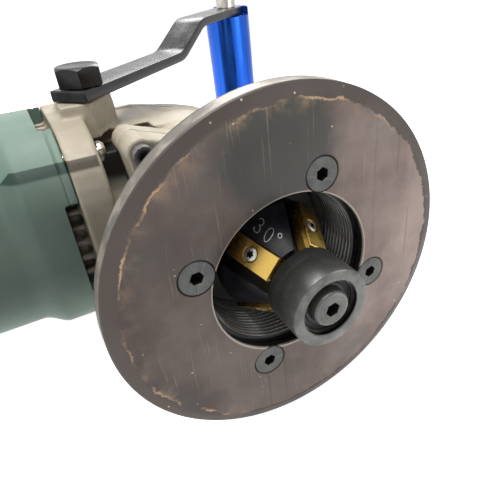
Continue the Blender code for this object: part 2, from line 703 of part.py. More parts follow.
def insert_frame(azimuth):
    """A frame on the cutter's cone: X across, Y along towards the big end, Z outward."""
    outward = Vector((math.cos(azimuth), 0, math.sin(azimuth)))
    back = Vector((0, 1, 0))
    along = outward * math.sin(CONE_ANGLE) + back * math.cos(CONE_ANGLE)
    normal = outward * math.cos(CONE_ANGLE) - back * math.sin(CONE_ANGLE)
    across = along.cross(normal)
    middle_radius = (CONE_SMALL_RADIUS + CONE_BIG_RADIUS) / 2
    middle_back = (CONE_SMALL_BACK + CONE_BIG_BACK) / 2
    centre = outward * middle_radius + back * middle_back
    return Matrix.Translation(centre) @ Matrix((across, along, normal)).transposed().to_4x4()


def bar_frame():
    """A frame on the bolt's axis with X along the bar and Z up."""
    return Matrix.Rotation(BAR_AZIMUTH, 4, "Z")


def motor_place(offset_back, height):
    """A place beside the motor axis."""
    return Vector((0, MOTOR_AXIS_BACK + offset_back, height))


def make_base_plate(body):
    """The round guide plate with its four countersunk holes."""
    bore = PLATE_BORE_RADIUS
    edge = PLATE_EDGE_CHAMFER
    profile = [
        (bore + edge, 0), (PLATE_RADIUS - PLATE_RIM_BEVEL_WIDTH, 0), (PLATE_RADIUS, PLATE_RIM_BEVEL_DROP),
        (PLATE_RADIUS, PLATE_THICKNESS - edge), (PLATE_RADIUS - edge, PLATE_THICKNESS),
        (PLATE_REGISTER_RADIUS, PLATE_THICKNESS), (PLATE_REGISTER_RADIUS, PLATE_LIP_THICKNESS),
        (bore, PLATE_LIP_THICKNESS), (bore, edge),
    ]
    plate = turned("base_plate", profile, "plate_steel", body, ALONG_Y, FINE_STEPS)
    holes = bmesh.new()
    for azimuth in spaced(PLATE_SCREW_AZIMUTH, PLATE_SCREW_COUNT):
        place = Matrix.Translation(around(PLATE_SCREW_CIRCLE, azimuth, 0)) @ ALONG_Y
        hole = countersunk(PLATE_SCREW_SHANK_RADIUS, PLATE_THICKNESS + CUT_OVERRUN, PLATE_SCREW_HEAD_RADIUS,
                           PLATE_SCREW_RIM, 0, SEAT_GAP)
        hole[-1] = (hole[-1][0], -CUT_OVERRUN)
        add_turned(holes, plugged(hole), place, SMALL_STEPS)
    shape(plate, "base_plate_holes", holes)


def make_plate_screws(body):
    """Four countersunk hexagon-socket screws that hold the plate on the collar."""
    for number, azimuth in enumerate(spaced(PLATE_SCREW_AZIMUTH, PLATE_SCREW_COUNT), 1):
        place = Matrix.Translation(around(PLATE_SCREW_CIRCLE, azimuth, 0)) @ ALONG_Y
        profile = countersunk(PLATE_SCREW_SHANK_RADIUS, PLATE_SCREW_LENGTH, PLATE_SCREW_HEAD_RADIUS,
                              PLATE_SCREW_RIM, SEAT_GAP / 2)
        socket_screw("plate_screw_" + str(number), profile, PLATE_SCREW_SOCKET_RADIUS,
                     PLATE_SCREW_SOCKET_DEPTH,
                     "ground_steel", body, place, SCREW_STEPS)


def make_depth_collar(body):
    """The collar behind the plate, with the thread that sets the bevel depth."""
    crest, root = COLLAR_THREAD_CREST_RADIUS, COLLAR_THREAD_ROOT_RADIUS
    spigot = PLATE_REGISTER_RADIUS - SEAT_GAP
    chamfer = COLLAR_CHAMFER
    profile = [
        (root + chamfer, COLLAR_NOSE_BACK), (spigot, COLLAR_NOSE_BACK), (spigot, COLLAR_FLANGE_BACK),
        (COLLAR_OUTER_RADIUS - chamfer, COLLAR_FLANGE_BACK),
        (COLLAR_OUTER_RADIUS, COLLAR_FLANGE_BACK + chamfer),
        (COLLAR_OUTER_RADIUS, COLLAR_END_BACK - chamfer), (COLLAR_OUTER_RADIUS - chamfer, COLLAR_END_BACK),
        (WIPER_GROOVE_RADIUS, COLLAR_END_BACK), (WIPER_GROOVE_RADIUS, WIPER_GROOVE_FRONT),
        (crest, WIPER_GROOVE_FRONT),
    ]
    first = COLLAR_NOSE_BACK + COLLAR_LAND_WIDTH
    for turn in reversed(range(COLLAR_THREAD_TURNS)):
        profile.append((crest, first + COLLAR_THREAD_PITCH * (turn + 1)))
        profile.append((root, first + COLLAR_THREAD_PITCH * (turn + 1 / 2)))
    profile.append((crest, first))
    profile.append((root, COLLAR_NOSE_BACK + chamfer))
    collar = turned("depth_collar", profile, "black_oxide", body, ALONG_Y, ROUND_STEPS)
    holes = bmesh.new()
    for azimuth in spaced(PLATE_SCREW_AZIMUTH, PLATE_SCREW_COUNT):
        place = Matrix.Translation(around(PLATE_SCREW_CIRCLE, azimuth, 0)) @ ALONG_Y
        radius = PLATE_SCREW_SHANK_RADIUS + SEAT_GAP
        add_turned(holes,
                   rod(radius, PLATE_THICKNESS - CUT_OVERRUN, PLATE_SCREW_LENGTH + PLATE_SCREW_END_ROOM),
                   place, SMALL_STEPS)
    cross = facing(Vector((0, LOCK_SCREW_BACK, 0)), LOCK_SCREW_AZIMUTH)
    add_turned(holes,
               rod(LOCK_SCREW_RADIUS + SEAT_GAP, SLEEVE_BORE_RADIUS, COLLAR_OUTER_RADIUS + CUT_OVERRUN),
               cross, SMALL_STEPS)
    shape(collar, "depth_collar_holes", holes)


def make_wiper_ring(body):
    """The rubber ring that slides on the sleeve in the back of the collar."""
    inner = COLLAR_THREAD_CREST_RADIUS
    low = WIPER_GROOVE_FRONT + SEAT_GAP
    profile = tube(inner, WIPER_GROOVE_RADIUS - SEAT_GAP, low, COLLAR_END_BACK)
    turned("wiper_ring", profile, "black_rubber", body, ALONG_Y, ROUND_STEPS)


def make_lock_screw(body):
    """The screw in the collar's side that holds the depth that was set."""
    seat = COLLAR_OUTER_RADIUS + SEAT_GAP
    profile = headed(LOCK_SCREW_RADIUS, COLLAR_THREAD_CREST_RADIUS, LOCK_SCREW_HEAD_RADIUS, seat,
                     seat + LOCK_SCREW_HEAD_LENGTH)
    socket_screw("collar_lock_screw", profile, LOCK_SCREW_SOCKET_RADIUS, LOCK_SCREW_SOCKET_DEPTH,
                 "black_oxide",
                 body, facing(Vector((0, 0, 0)), LOCK_SCREW_AZIMUTH), TINY_STEPS)


def make_threaded_sleeve(body):
    """The fixed sleeve round the spindle that the collar is screwed on."""
    barrel = SLEEVE_BARREL_RADIUS
    chamfer = COLLAR_CHAMFER
    profile = [
        (SLEEVE_BORE_RADIUS, SLEEVE_FRONT_BACK), (barrel - chamfer, SLEEVE_FRONT_BACK),
        (barrel, SLEEVE_FRONT_BACK + chamfer), (barrel, SLEEVE_BARREL_END_BACK),
        (SLEEVE_FLANGE_RADIUS, SLEEVE_BARREL_END_BACK), (SLEEVE_FLANGE_RADIUS, SLEEVE_REAR_BACK),
        (SLEEVE_BORE_RADIUS, SLEEVE_REAR_BACK),
    ]
    turned("threaded_sleeve", profile, "black_oxide", body, ALONG_Y, ROUND_STEPS)


def make_bearing_cap(body):
    """The cast cap that closes the gear head and carries the front spindle bearing."""
    bm = bmesh.new()
    add_prism(bm, eared_outline(CAP_MAIN_RADIUS, EAR_RADIUS), CAP_FRONT_BACK, CAP_REAR_BACK, ALONG_Y)
    cap = finish_piece("bearing_cap", bm, "cast_alloy", body)
    spigot = bmesh.new()
    spigot_front = CAP_FRONT_BACK - CAP_SPIGOT_LENGTH
    add_turned(spigot, rod(SLEEVE_BORE_RADIUS - SEAT_GAP, spigot_front, CAP_FRONT_BACK + CUT_OVERRUN),
               ALONG_Y)
    shape(cap, "bearing_cap_spigot", spigot, "UNION")
    pocket = FRONT_BEARING_RADIUS + SEAT_GAP
    pocket_front = CAP_REAR_BACK - FRONT_BEARING_WIDTH - SEAT_GAP
    holes = bmesh.new()
    add_turned(holes, [
        (0, spigot_front - CUT_OVERRUN), (CAP_BORE_RADIUS, spigot_front - CUT_OVERRUN),
        (CAP_BORE_RADIUS, pocket_front), (pocket, pocket_front), (pocket, CAP_REAR_BACK + CUT_OVERRUN),
        (0, CAP_REAR_BACK + CUT_OVERRUN),
    ], ALONG_Y)
    for azimuth in ear_azimuths():
        place = Matrix.Translation(around(EAR_CIRCLE, azimuth, CAP_FRONT_BACK)) @ ALONG_Y
        hole = rod(CAP_SCREW_SHANK_RADIUS + SEAT_GAP, -CUT_OVERRUN, CAP_THICKNESS + CUT_OVERRUN)
        add_turned(holes, hole, place, TINY_STEPS)
    shape(cap, "bearing_cap_holes", holes)


def make_cap_screws(body):
    """Four cap screws through the bearing cap's ears into the gear head."""
    for number, azimuth in enumerate(ear_azimuths(), 1):
        place = Matrix.Translation(around(EAR_CIRCLE, azimuth, CAP_FRONT_BACK - SEAT_GAP)) @ ALONG_Y
        profile = headed(CAP_SCREW_SHANK_RADIUS, CAP_SCREW_LENGTH - CAP_SCREW_HEAD_LENGTH,
                         CAP_SCREW_HEAD_RADIUS, 0,
                         -CAP_SCREW_HEAD_LENGTH)
        socket_screw("cap_screw_" + str(number), profile, CAP_SCREW_SOCKET_RADIUS, CAP_SCREW_SOCKET_DEPTH,
                     "black_oxide", body, place, TINY_STEPS)


def make_gear_head(body):
    """The cast gear head: eared front, round case, motor flange, bolt boss and spigot."""
    bm = bmesh.new()
    outline = square_section(FLANGE_HALF + FLANGE_PROUD, FLANGE_CORNER)
    motor_axis = Matrix.Translation(motor_place(0, 0)) @ ALONG_X
    add_prism(bm, outline, FLANGE_REAR, FLANGE_FRONT, motor_axis)
    head = finish_piece("gear_head", bm, "cast_alloy", body)

    case = bmesh.new()
    rounding = CASE_REAR_ROUND
    dome = [
        (CASE_RADIUS - rounding + rounding * math.sin(math.pi / 2 * step / CORNER_STEPS),
         CASE_REAR_BACK - rounding + rounding * math.cos(math.pi / 2 * step / CORNER_STEPS))
        for step in reversed(range(CORNER_STEPS + 1))
    ]
    add_turned(case, [(0, HEAD_FRONT_BACK + SEAT_GAP), (CASE_RADIUS, HEAD_FRONT_BACK + SEAT_GAP)] + dome
               + [(0, CASE_REAR_BACK)], ALONG_Y)
    shape(head, "gear_head_case", case, "UNION")

    ears = bmesh.new()
    add_prism(ears, eared_outline(CAP_MAIN_RADIUS, EAR_RADIUS), HEAD_FRONT_BACK, HEAD_FLANGE_REAR_BACK,
              ALONG_Y)
    shape(head, "gear_head_ears", ears, "UNION")

    neck = bmesh.new()
    add_turned(neck, [
        (0, FLANGE_FRONT - FLANGE_THICKNESS / 2), (MOTOR_NECK_RADIUS, FLANGE_FRONT - FLANGE_THICKNESS / 2),
        (MOTOR_NECK_RADIUS, FLANGE_FRONT), (MOTOR_NECK_NOSE_RADIUS, SHAFT_FRONT), (0, SHAFT_FRONT),
    ], motor_axis)
    shape(head, "gear_head_neck", neck, "UNION")

    boss = bmesh.new()
    foot_length = BOSS_HALF_LENGTH + BOSS_FOOT_GROWTH
    foot_width = BOSS_HALF_WIDTH + BOSS_FOOT_GROWTH
    add_loft(boss, [
        (BOSS_FOOT, rectangle(foot_length, foot_width, BOLT_FORWARD, BOLT_BACK)),
        (BOSS_TOP, rectangle(BOSS_HALF_LENGTH, BOSS_HALF_WIDTH, BOLT_FORWARD, BOLT_BACK)),
    ])
    shape(head, "gear_head_boss", boss, "UNION")

    rib = bmesh.new()
    side = BOLT_FORWARD + BOSS_HALF_LENGTH
    rib_outline = [
        (side - BOSS_HALF_LENGTH / 2, RIB_CASE_FOOT), (0, RIB_CASE_FOOT), (0, RIB_CASE_TOP),
        (side + BOSS_HALF_LENGTH / 2, RIB_CASE_TOP), (side, BOSS_TOP - RIB_BOSS_DROP),
        (side - BOSS_HALF_LENGTH / 2, BOSS_TOP - RIB_BOSS_DROP),
    ]
    back = BOLT_BACK - BOSS_HALF_WIDTH + RIB_HALF_WIDTH
    add_loft(rib, [(-back - RIB_HALF_WIDTH, [(u, v) for u, v in rib_outline]),
                   (-back + RIB_HALF_WIDTH, [(u, v) for u, v in rib_outline])],
                   Matrix.Rotation(math.pi / 2, 4, "X"))
    shape(head, "gear_head_rib", rib, "UNION")

    guard = bmesh.new()
    place = Matrix.Translation((LOCK_HOLE_CIRCLE, 0, 0)) @ ALONG_Y
    add_turned(guard,
               rod(BUTTON_BOSS_RADIUS, CASE_REAR_BACK - CUT_OVERRUN, CASE_REAR_BACK + BUTTON_BOSS_HEIGHT),
               place, SMALL_STEPS)
    shape(head, "gear_head_button_boss", guard, "UNION")

    holes = bmesh.new()
    for azimuth in ear_azimuths():
        place = Matrix.Translation(around(EAR_CIRCLE, azimuth, HEAD_FRONT_BACK)) @ ALONG_Y
        depth = HEAD_FLANGE_DEPTH + CUT_OVERRUN
        add_turned(holes, rod(CAP_SCREW_SHANK_RADIUS + SEAT_GAP, -CUT_OVERRUN, depth), place, TINY_STEPS)
    for side_back in (-1, 1):
        for side_up in (-1, 1):
            place = Matrix.Translation(motor_place(side_back * FLANGE_SCREW_SIDE,
                                                   side_up * FLANGE_SCREW_HEIGHT))
            hole = rod(PAN_SCREW_RADIUS + SEAT_GAP, SEAM_FRONT - CUT_OVERRUN, FLANGE_FRONT + CUT_OVERRUN)
            add_turned(holes, hole, place @ ALONG_X, TINY_STEPS)
    bolt_place = Matrix.Translation((BOLT_FORWARD, BOLT_BACK, 0))
    bolt_low = BAR_TOP + SEAT_GAP - BOLT_LENGTH - PLATE_SCREW_END_ROOM
    add_turned(holes, rod(BOLT_RADIUS + SEAT_GAP, bolt_low, BOSS_TOP + CUT_OVERRUN), bolt_place,
               SMALL_STEPS)
    place = Matrix.Translation((LOCK_HOLE_CIRCLE, 0, 0)) @ ALONG_Y
    add_turned(holes, [
        (0, CAVITY_REAR_BACK - CUT_OVERRUN), (LOCK_PIN_RADIUS + SEAT_GAP, CAVITY_REAR_BACK - CUT_OVERRUN),
        (LOCK_PIN_RADIUS + SEAT_GAP, CASE_REAR_BACK + BUTTON_FLOOR),
        (BUTTON_RADIUS + SEAT_GAP, CASE_REAR_BACK + BUTTON_FLOOR),
        (BUTTON_RADIUS + SEAT_GAP, CASE_REAR_BACK + BUTTON_BOSS_HEIGHT + CUT_OVERRUN),
        (0, CASE_REAR_BACK + BUTTON_BOSS_HEIGHT + CUT_OVERRUN),
    ], place, SMALL_STEPS)
    shape(head, "gear_head_holes", holes)

    bore = bmesh.new()
    rear_pocket = REAR_BEARING_RADIUS + SEAT_GAP
    pocket_end = CAVITY_REAR_BACK + SEAT_GAP + REAR_BEARING_WIDTH + SEAT_GAP
    add_turned(bore, [
        (0, HEAD_FRONT_BACK - CUT_OVERRUN), (CAVITY_RADIUS, HEAD_FRONT_BACK - CUT_OVERRUN),
        (CAVITY_RADIUS, CAVITY_REAR_BACK), (rear_pocket, CAVITY_REAR_BACK), (rear_pocket, pocket_end),
        (0, pocket_end),
    ], ALONG_Y)
    shape(head, "gear_head_cavity", bore)

    spigot = bmesh.new()
    add_turned(spigot, rod(SPIGOT_OUTER_RADIUS, SEAM_FRONT - SPIGOT_LENGTH, FLANGE_REAR + SEAT_GAP),
               motor_axis)
    shape(head, "gear_head_spigot", spigot, "UNION")

    ribs = bmesh.new()
    middle = (SPIGOT_RIB_COUNT - 1) / 2
    reach = SPIGOT_RIB_REACH
    deep = SPIGOT_INNER_RADIUS - SPIGOT_RIB_WIDTH
    for number in range(SPIGOT_RIB_COUNT):
        offset = (number - middle) * SPIGOT_RIB_PITCH
        for sign in (-1, 1):
            low, high = sorted((sign * deep, sign * reach))
            for outline in (
                [(low, offset - SPIGOT_RIB_WIDTH / 2), (high, offset - SPIGOT_RIB_WIDTH / 2),
                 (high, offset + SPIGOT_RIB_WIDTH / 2), (low, offset + SPIGOT_RIB_WIDTH / 2)],
                [(offset - SPIGOT_RIB_WIDTH / 2, low), (offset + SPIGOT_RIB_WIDTH / 2, low),
                 (offset + SPIGOT_RIB_WIDTH / 2, high), (offset - SPIGOT_RIB_WIDTH / 2, high)],
            ):
                add_prism(ribs, outline, SEAM_FRONT - SPIGOT_LENGTH + SEAT_GAP,
                          FLANGE_REAR + SEAT_GAP * 2, motor_axis)
    shape(head, "gear_head_spigot_ribs", ribs, "UNION")

    shaft = bmesh.new()
    bearing_pocket = FRONT_SHAFT_BEARING_RADIUS + SEAT_GAP
    bearing_shoulder = SEAM_FRONT + FRONT_SHAFT_BEARING_WIDTH + SEAT_GAP * 3
    add_turned(shaft, [
        (0, SEAM_FRONT - SPIGOT_LENGTH - CUT_OVERRUN),
        (SPIGOT_INNER_RADIUS, SEAM_FRONT - SPIGOT_LENGTH - CUT_OVERRUN),
        (SPIGOT_INNER_RADIUS, SEAM_FRONT), (bearing_pocket, SEAM_FRONT), (bearing_pocket, bearing_shoulder),
        (SHAFT_HOLE_RADIUS, bearing_shoulder), (SHAFT_HOLE_RADIUS, SHAFT_FRONT), (0, SHAFT_FRONT),
    ], motor_axis)
    shape(head, "gear_head_shaft_way", shaft)


def make_flange_screws(body):
    """Four pan-head screws through the flange corners into the motor housing."""
    seat = FLANGE_FRONT + SEAT_GAP
    number = 0
    for side_back in (-1, 1):
        for side_up in (-1, 1):
            number += 1
            place = Matrix.Translation(motor_place(side_back * FLANGE_SCREW_SIDE,
                                                   side_up * FLANGE_SCREW_HEIGHT))
            profile = [
                (0, seat - PAN_SCREW_LENGTH), (PAN_SCREW_RADIUS, seat - PAN_SCREW_LENGTH),
                (PAN_SCREW_RADIUS, seat),
                (PAN_HEAD_RADIUS, seat), (PAN_HEAD_RADIUS, seat + PAN_HEAD_EDGE),
                (PAN_HEAD_RADIUS - PAN_HEAD_EDGE, seat + PAN_HEAD_HEIGHT), (0, seat + PAN_HEAD_HEIGHT),
            ]
            turned("flange_screw_" + str(number), profile, "zinc_steel", body, place @ ALONG_X, TINY_STEPS)


def make_motor_housing(body):
    """The moulded motor housing with its air outlets, wire holes and bearing wall."""
    bm = bmesh.new()
    flange = square_section(FLANGE_HALF, FLANGE_CORNER)
    body_outline = square_section(BODY_HALF, BODY_CORNER)
    motor_axis = Matrix.Translation(motor_place(0, 0)) @ ALONG_X
    add_loft(bm, [(HOUSING_END, body_outline), (BODY_START, body_outline), (FLARE_START, flange),
                  (SEAM_FRONT, flange)], motor_axis)
    housing = finish_piece("motor_housing", bm, "sage_plastic", body)

    room = bmesh.new()
    pocket = REAR_SHAFT_BEARING_RADIUS + SEAT_GAP
    pocket_rear = REAR_WALL_FRONT - REAR_SHAFT_BEARING_WIDTH - SEAT_GAP * 2
    rear_hole = SHAFT_TAIL_RADIUS + SEAT_GAP * 4
    add_turned(room, [
        (0, SEAM_FRONT + CUT_OVERRUN), (FAN_ROOM_RADIUS, SEAM_FRONT + CUT_OVERRUN),
        (FAN_ROOM_RADIUS, FAN_ROOM_END),
        (CORE_ROOM_RADIUS, FAN_ROOM_END), (CORE_ROOM_RADIUS, REAR_WALL_FRONT), (pocket, REAR_WALL_FRONT),
        (pocket, pocket_rear), (rear_hole, pocket_rear), (rear_hole, HOUSING_END - CUT_OVERRUN),
        (0, HOUSING_END - CUT_OVERRUN),
    ], motor_axis)
    shape(housing, "motor_housing_room", room)

    vents = bmesh.new()
    half = VENT_WIDTH / 2
    rear = SEAM_FRONT - VENT_DEPTH
    front = SEAM_FRONT + CUT_OVERRUN
    corner = VENT_CORNER
    outline = [(front, -half), (front, half), (rear + corner, half), (rear, half - corner),
               (rear, corner - half), (rear + corner, -half)]
    far = FLANGE_HALF + CUT_OVERRUN * 2
    deep = SPIGOT_OUTER_RADIUS
    for low, high in ((-far, -deep), (deep, far)):
        add_prism(vents, [(u, v) for u, v in outline], low, high, Matrix.Translation(motor_place(0, 0)))
        add_prism(vents, [(u, v) for u, v in outline], low, high,
                  Matrix.Translation(motor_place(0, 0)) @ Matrix.Rotation(math.pi / 2, 4, "X"))
    shape(housing, "motor_housing_vents", vents)

    holes = bmesh.new()
    for side_back in (-1, 1):
        for side_up in (-1, 1):
            place = Matrix.Translation(motor_place(side_back * FLANGE_SCREW_SIDE,
                                                   side_up * FLANGE_SCREW_HEIGHT))
            end = FLANGE_FRONT - PAN_SCREW_LENGTH - PLATE_SCREW_END_ROOM
            add_turned(holes, rod(PAN_SCREW_RADIUS + SEAT_GAP, end, SEAM_FRONT + CUT_OVERRUN),
                       place @ ALONG_X,
                       TINY_STEPS)
    for angle in spaced(math.pi / 4, WIRE_HOLE_COUNT):
        place = Matrix.Translation(motor_place(WIRE_HOLE_CIRCLE * math.cos(angle),
                                               WIRE_HOLE_CIRCLE * math.sin(angle)))
        hole = rod(WIRE_HOLE_RADIUS, HOUSING_END - CUT_OVERRUN, REAR_WALL_FRONT + CUT_OVERRUN)
        add_turned(holes, hole, place @ ALONG_X, SMALL_STEPS)
    tail_place = Matrix.Translation(motor_place(0, TAIL_POST_HEIGHT)) @ ALONG_X
    add_turned(holes,
               rod(TAIL_SCREW_RADIUS + SEAT_GAP, HOUSING_END - CUT_OVERRUN, TAIL_SCREW_TIP + SEAT_GAP * 2),
               tail_place, TINY_STEPS)
    shape(housing, "motor_housing_holes", holes)


def brush_place():
    """Where the brushes meet the middle of the commutator, along the motor."""
    return COMMUTATOR_FRONT - COMMUTATOR_LENGTH / 2


def tail_section(station):
    """The tail's outside half size at a place along the motor axis."""
    share = (TAIL_START - station) / (TAIL_START - TAIL_END)
    return BODY_HALF + (TAIL_HALF - BODY_HALF) * share


def tail_loft(bm, inset, front, rear, matrix):
    """The tail's outside, drawn in by an inset."""
    sections = []
    for station in (rear, front):
        half = tail_section(station) - inset
        corner = BODY_CORNER if station == front else TAIL_CORNER
        sections.append((station, square_section(half, corner - inset)))
    add_loft(bm, sections, matrix)


def make_tail_cover(body):
    """The tail cover, with the cradle for the switch and the post for its screw."""
    motor_axis = Matrix.Translation(motor_place(0, 0)) @ ALONG_X
    bm = bmesh.new()
    tail_loft(bm, 0.0, TAIL_START, TAIL_END, motor_axis)
    cover = finish_piece("tail_cover", bm, "sage_plastic", body)
    inside = bmesh.new()
    tail_loft(inside, TAIL_WALL, TAIL_START + CUT_OVERRUN, TAIL_END + TAIL_WALL, motor_axis)
    shape(cover, "tail_cover_room", inside)

    cradle = bmesh.new()
    inside_wall = TAIL_WALL / 2
    floor = inside_wall - tail_section(SWITCH_FORWARD + CRADLE_LENGTH / 2)
    add_box(cradle, (SWITCH_FORWARD - CRADLE_LENGTH / 2, MOTOR_AXIS_BACK - CRADLE_HALF_WIDTH, floor),
            (SWITCH_FORWARD + CRADLE_LENGTH / 2, MOTOR_AXIS_BACK + CRADLE_HALF_WIDTH,
             SWITCH_BOTTOM - SEAT_GAP))
    shape(cover, "tail_cover_cradle", cradle, "UNION")
    post = bmesh.new()
    post_place = Matrix.Translation(motor_place(0, TAIL_POST_HEIGHT)) @ ALONG_X
    add_turned(post, rod(TAIL_POST_RADIUS, TAIL_END + inside_wall, TAIL_START), post_place, SMALL_STEPS)
    shape(cover, "tail_cover_post", post, "UNION")

    holes = bmesh.new()
    gland = rod(GLAND_NECK_RADIUS + SEAT_GAP, TAIL_END - CUT_OVERRUN, TAIL_END + TAIL_WALL + CUT_OVERRUN)
    add_turned(holes, gland, motor_axis, SMALL_STEPS)
    pocket = TAIL_SCREW_HEAD_RADIUS + SEAT_GAP
    shank = TAIL_SCREW_RADIUS + SEAT_GAP
    seat = TAIL_END + TAIL_SCREW_SINK
    add_turned(holes, [
        (0, TAIL_END - CUT_OVERRUN), (pocket, TAIL_END - CUT_OVERRUN), (pocket, seat), (shank, seat),
        (shank, TAIL_START + CUT_OVERRUN), (0, TAIL_START + CUT_OVERRUN),
    ], post_place, TINY_STEPS)
    half_length = SLIDER_STEM_LENGTH / 2 + SEAT_GAP
    half_width = SLIDER_STEM_WIDTH / 2 + SEAT_GAP
    add_box(holes, (SWITCH_FORWARD - half_length, MOTOR_AXIS_BACK - half_width, SWITCH_TOP),
            (SWITCH_FORWARD + SLIDER_TRAVEL + half_length, MOTOR_AXIS_BACK + half_width,
             TAIL_HALF + CUT_OVERRUN))
    shape(cover, "tail_cover_holes", holes)


def make_tail_screw(body):
    """The screw that holds the tail cover on the motor housing."""
    seat = TAIL_END + TAIL_SCREW_SINK - SEAT_GAP
    place = Matrix.Translation(motor_place(0, TAIL_POST_HEIGHT)) @ ALONG_X
    turned("tail_screw", [
        (0, seat - TAIL_SCREW_HEAD_HEIGHT), (TAIL_SCREW_HEAD_RADIUS, seat - TAIL_SCREW_HEAD_HEIGHT),
        (TAIL_SCREW_HEAD_RADIUS, seat), (TAIL_SCREW_RADIUS, seat), (TAIL_SCREW_RADIUS, TAIL_SCREW_TIP),
        (0, TAIL_SCREW_TIP),
    ], "zinc_steel", body, place, TINY_STEPS)


def make_cord_gland(body):
    """The rubber bush that the mains lead would leave by."""
    motor_axis = Matrix.Translation(motor_place(0, 0)) @ ALONG_X
    wall_out = TAIL_END - SEAT_GAP
    wall_in = TAIL_END + TAIL_WALL + SEAT_GAP
    profile = [
        (GLAND_BORE_RADIUS, wall_out - GLAND_FLANGE_THICKNESS),
        (GLAND_FLANGE_RADIUS, wall_out - GLAND_FLANGE_THICKNESS),
        (GLAND_FLANGE_RADIUS, wall_out), (GLAND_NECK_RADIUS, wall_out), (GLAND_NECK_RADIUS, wall_in),
        (GLAND_FLANGE_RADIUS, wall_in), (GLAND_FLANGE_RADIUS, wall_in + GLAND_FLANGE_THICKNESS),
        (GLAND_BORE_RADIUS, wall_in + GLAND_FLANGE_THICKNESS),
    ]
    turned("cord_gland", profile, "black_rubber", body, motor_axis, SMALL_STEPS)


def make_switch(root, slider_body):
    """The switch block on its cradle and the slider that the thumb moves."""
    bm = bmesh.new()
    add_box(bm, (SWITCH_FORWARD - SWITCH_LENGTH / 2, MOTOR_AXIS_BACK - SWITCH_WIDTH / 2, SWITCH_BOTTOM),
            (SWITCH_FORWARD + SWITCH_LENGTH / 2, MOTOR_AXIS_BACK + SWITCH_WIDTH / 2, SWITCH_TOP))
    finish_piece("switch_block", bm, "black_plastic", root)

    roof = tail_section(SWITCH_FORWARD - SLIDER_PAD_LENGTH / 2) + SEAT_GAP
    bm = bmesh.new()
    half_length, half_width = SLIDER_PAD_LENGTH / 2, SLIDER_PAD_WIDTH / 2
    add_loft(bm, [
        (roof, rectangle(half_length, half_width)),
        (roof + SLIDER_PAD_HEIGHT / 2, rectangle(half_length, half_width)),
        (roof + SLIDER_PAD_HEIGHT,
         rectangle(half_length - SLIDER_PAD_HEIGHT / 2, half_width - SLIDER_PAD_HEIGHT / 4)),
    ])
    slider = finish_piece("switch_slider", bm, "black_plastic", slider_body)
    stem = bmesh.new()
    add_prism(stem, rectangle(SLIDER_STEM_LENGTH / 2, SLIDER_STEM_WIDTH / 2), SWITCH_TOP + SEAT_GAP,
              roof + SEAT_GAP)
    shape(slider, "switch_slider_stem", stem, "UNION")
    grips = bmesh.new()
    pitch = SLIDER_GRIP_WIDTH * 3
    for number in range(SLIDER_GRIP_COUNT):
        offset = (number - (SLIDER_GRIP_COUNT - 1) / 2) * pitch
        add_prism(grips, rectangle(SLIDER_GRIP_WIDTH / 2, half_width + CUT_OVERRUN, offset),
                  roof + SLIDER_PAD_HEIGHT - SLIDER_GRIP_DEPTH, roof + SLIDER_PAD_HEIGHT + CUT_OVERRUN)
    shape(slider, "switch_slider_grips", grips)


def make_field(body):
    """The laminated field core and the winding that loops through its two slots."""
    motor_axis = Matrix.Translation(motor_place(0, 0)) @ ALONG_X
    core_end = CORE_FRONT - CORE_LENGTH
    core = turned("field_core", tube(FIELD_INNER_RADIUS, CORE_ROOM_RADIUS - SEAT_GAP, core_end, CORE_FRONT),
                  "core_steel", body, motor_axis)
    slots = bmesh.new()
    bars = bmesh.new()
    rings = bmesh.new()
    front = (CORE_FRONT + SEAT_GAP, CORE_FRONT + SEAT_GAP + COIL_FRONT_LENGTH)
    rear = (core_end - SEAT_GAP - COIL_REAR_LENGTH, core_end - SEAT_GAP)
    for low, high in (front, rear):
        add_turned(rings, tube(COIL_INNER_RADIUS, COIL_OUTER_RADIUS, low, high), motor_axis)
    for sign in (-1, 1):
        turn = motor_axis @ Matrix.Rotation(sign * math.pi / 2, 4, "Z")
        outer = COIL_BAR_REACH + SEAT_GAP
        inner = FIELD_INNER_RADIUS - CUT_OVERRUN
        add_prism(slots, rectangle((outer - inner) / 2, COIL_BAR_WIDTH / 2 + SEAT_GAP, (outer + inner) / 2),
                  core_end - CUT_OVERRUN, CORE_FRONT + CUT_OVERRUN, turn)
        inner = COIL_INNER_RADIUS + SEAT_GAP
        add_prism(bars,
                  rectangle((COIL_BAR_REACH - inner) / 2, COIL_BAR_WIDTH / 2, (COIL_BAR_REACH + inner) / 2),
                  (rear[0] + rear[1]) / 2, (front[0] + front[1]) / 2, turn)
    shape(core, "field_core_slots", slots)
    winding = finish_piece("field_winding", rings, "copper_wire", body)
    shape(winding, "field_winding_bars", bars, "UNION")


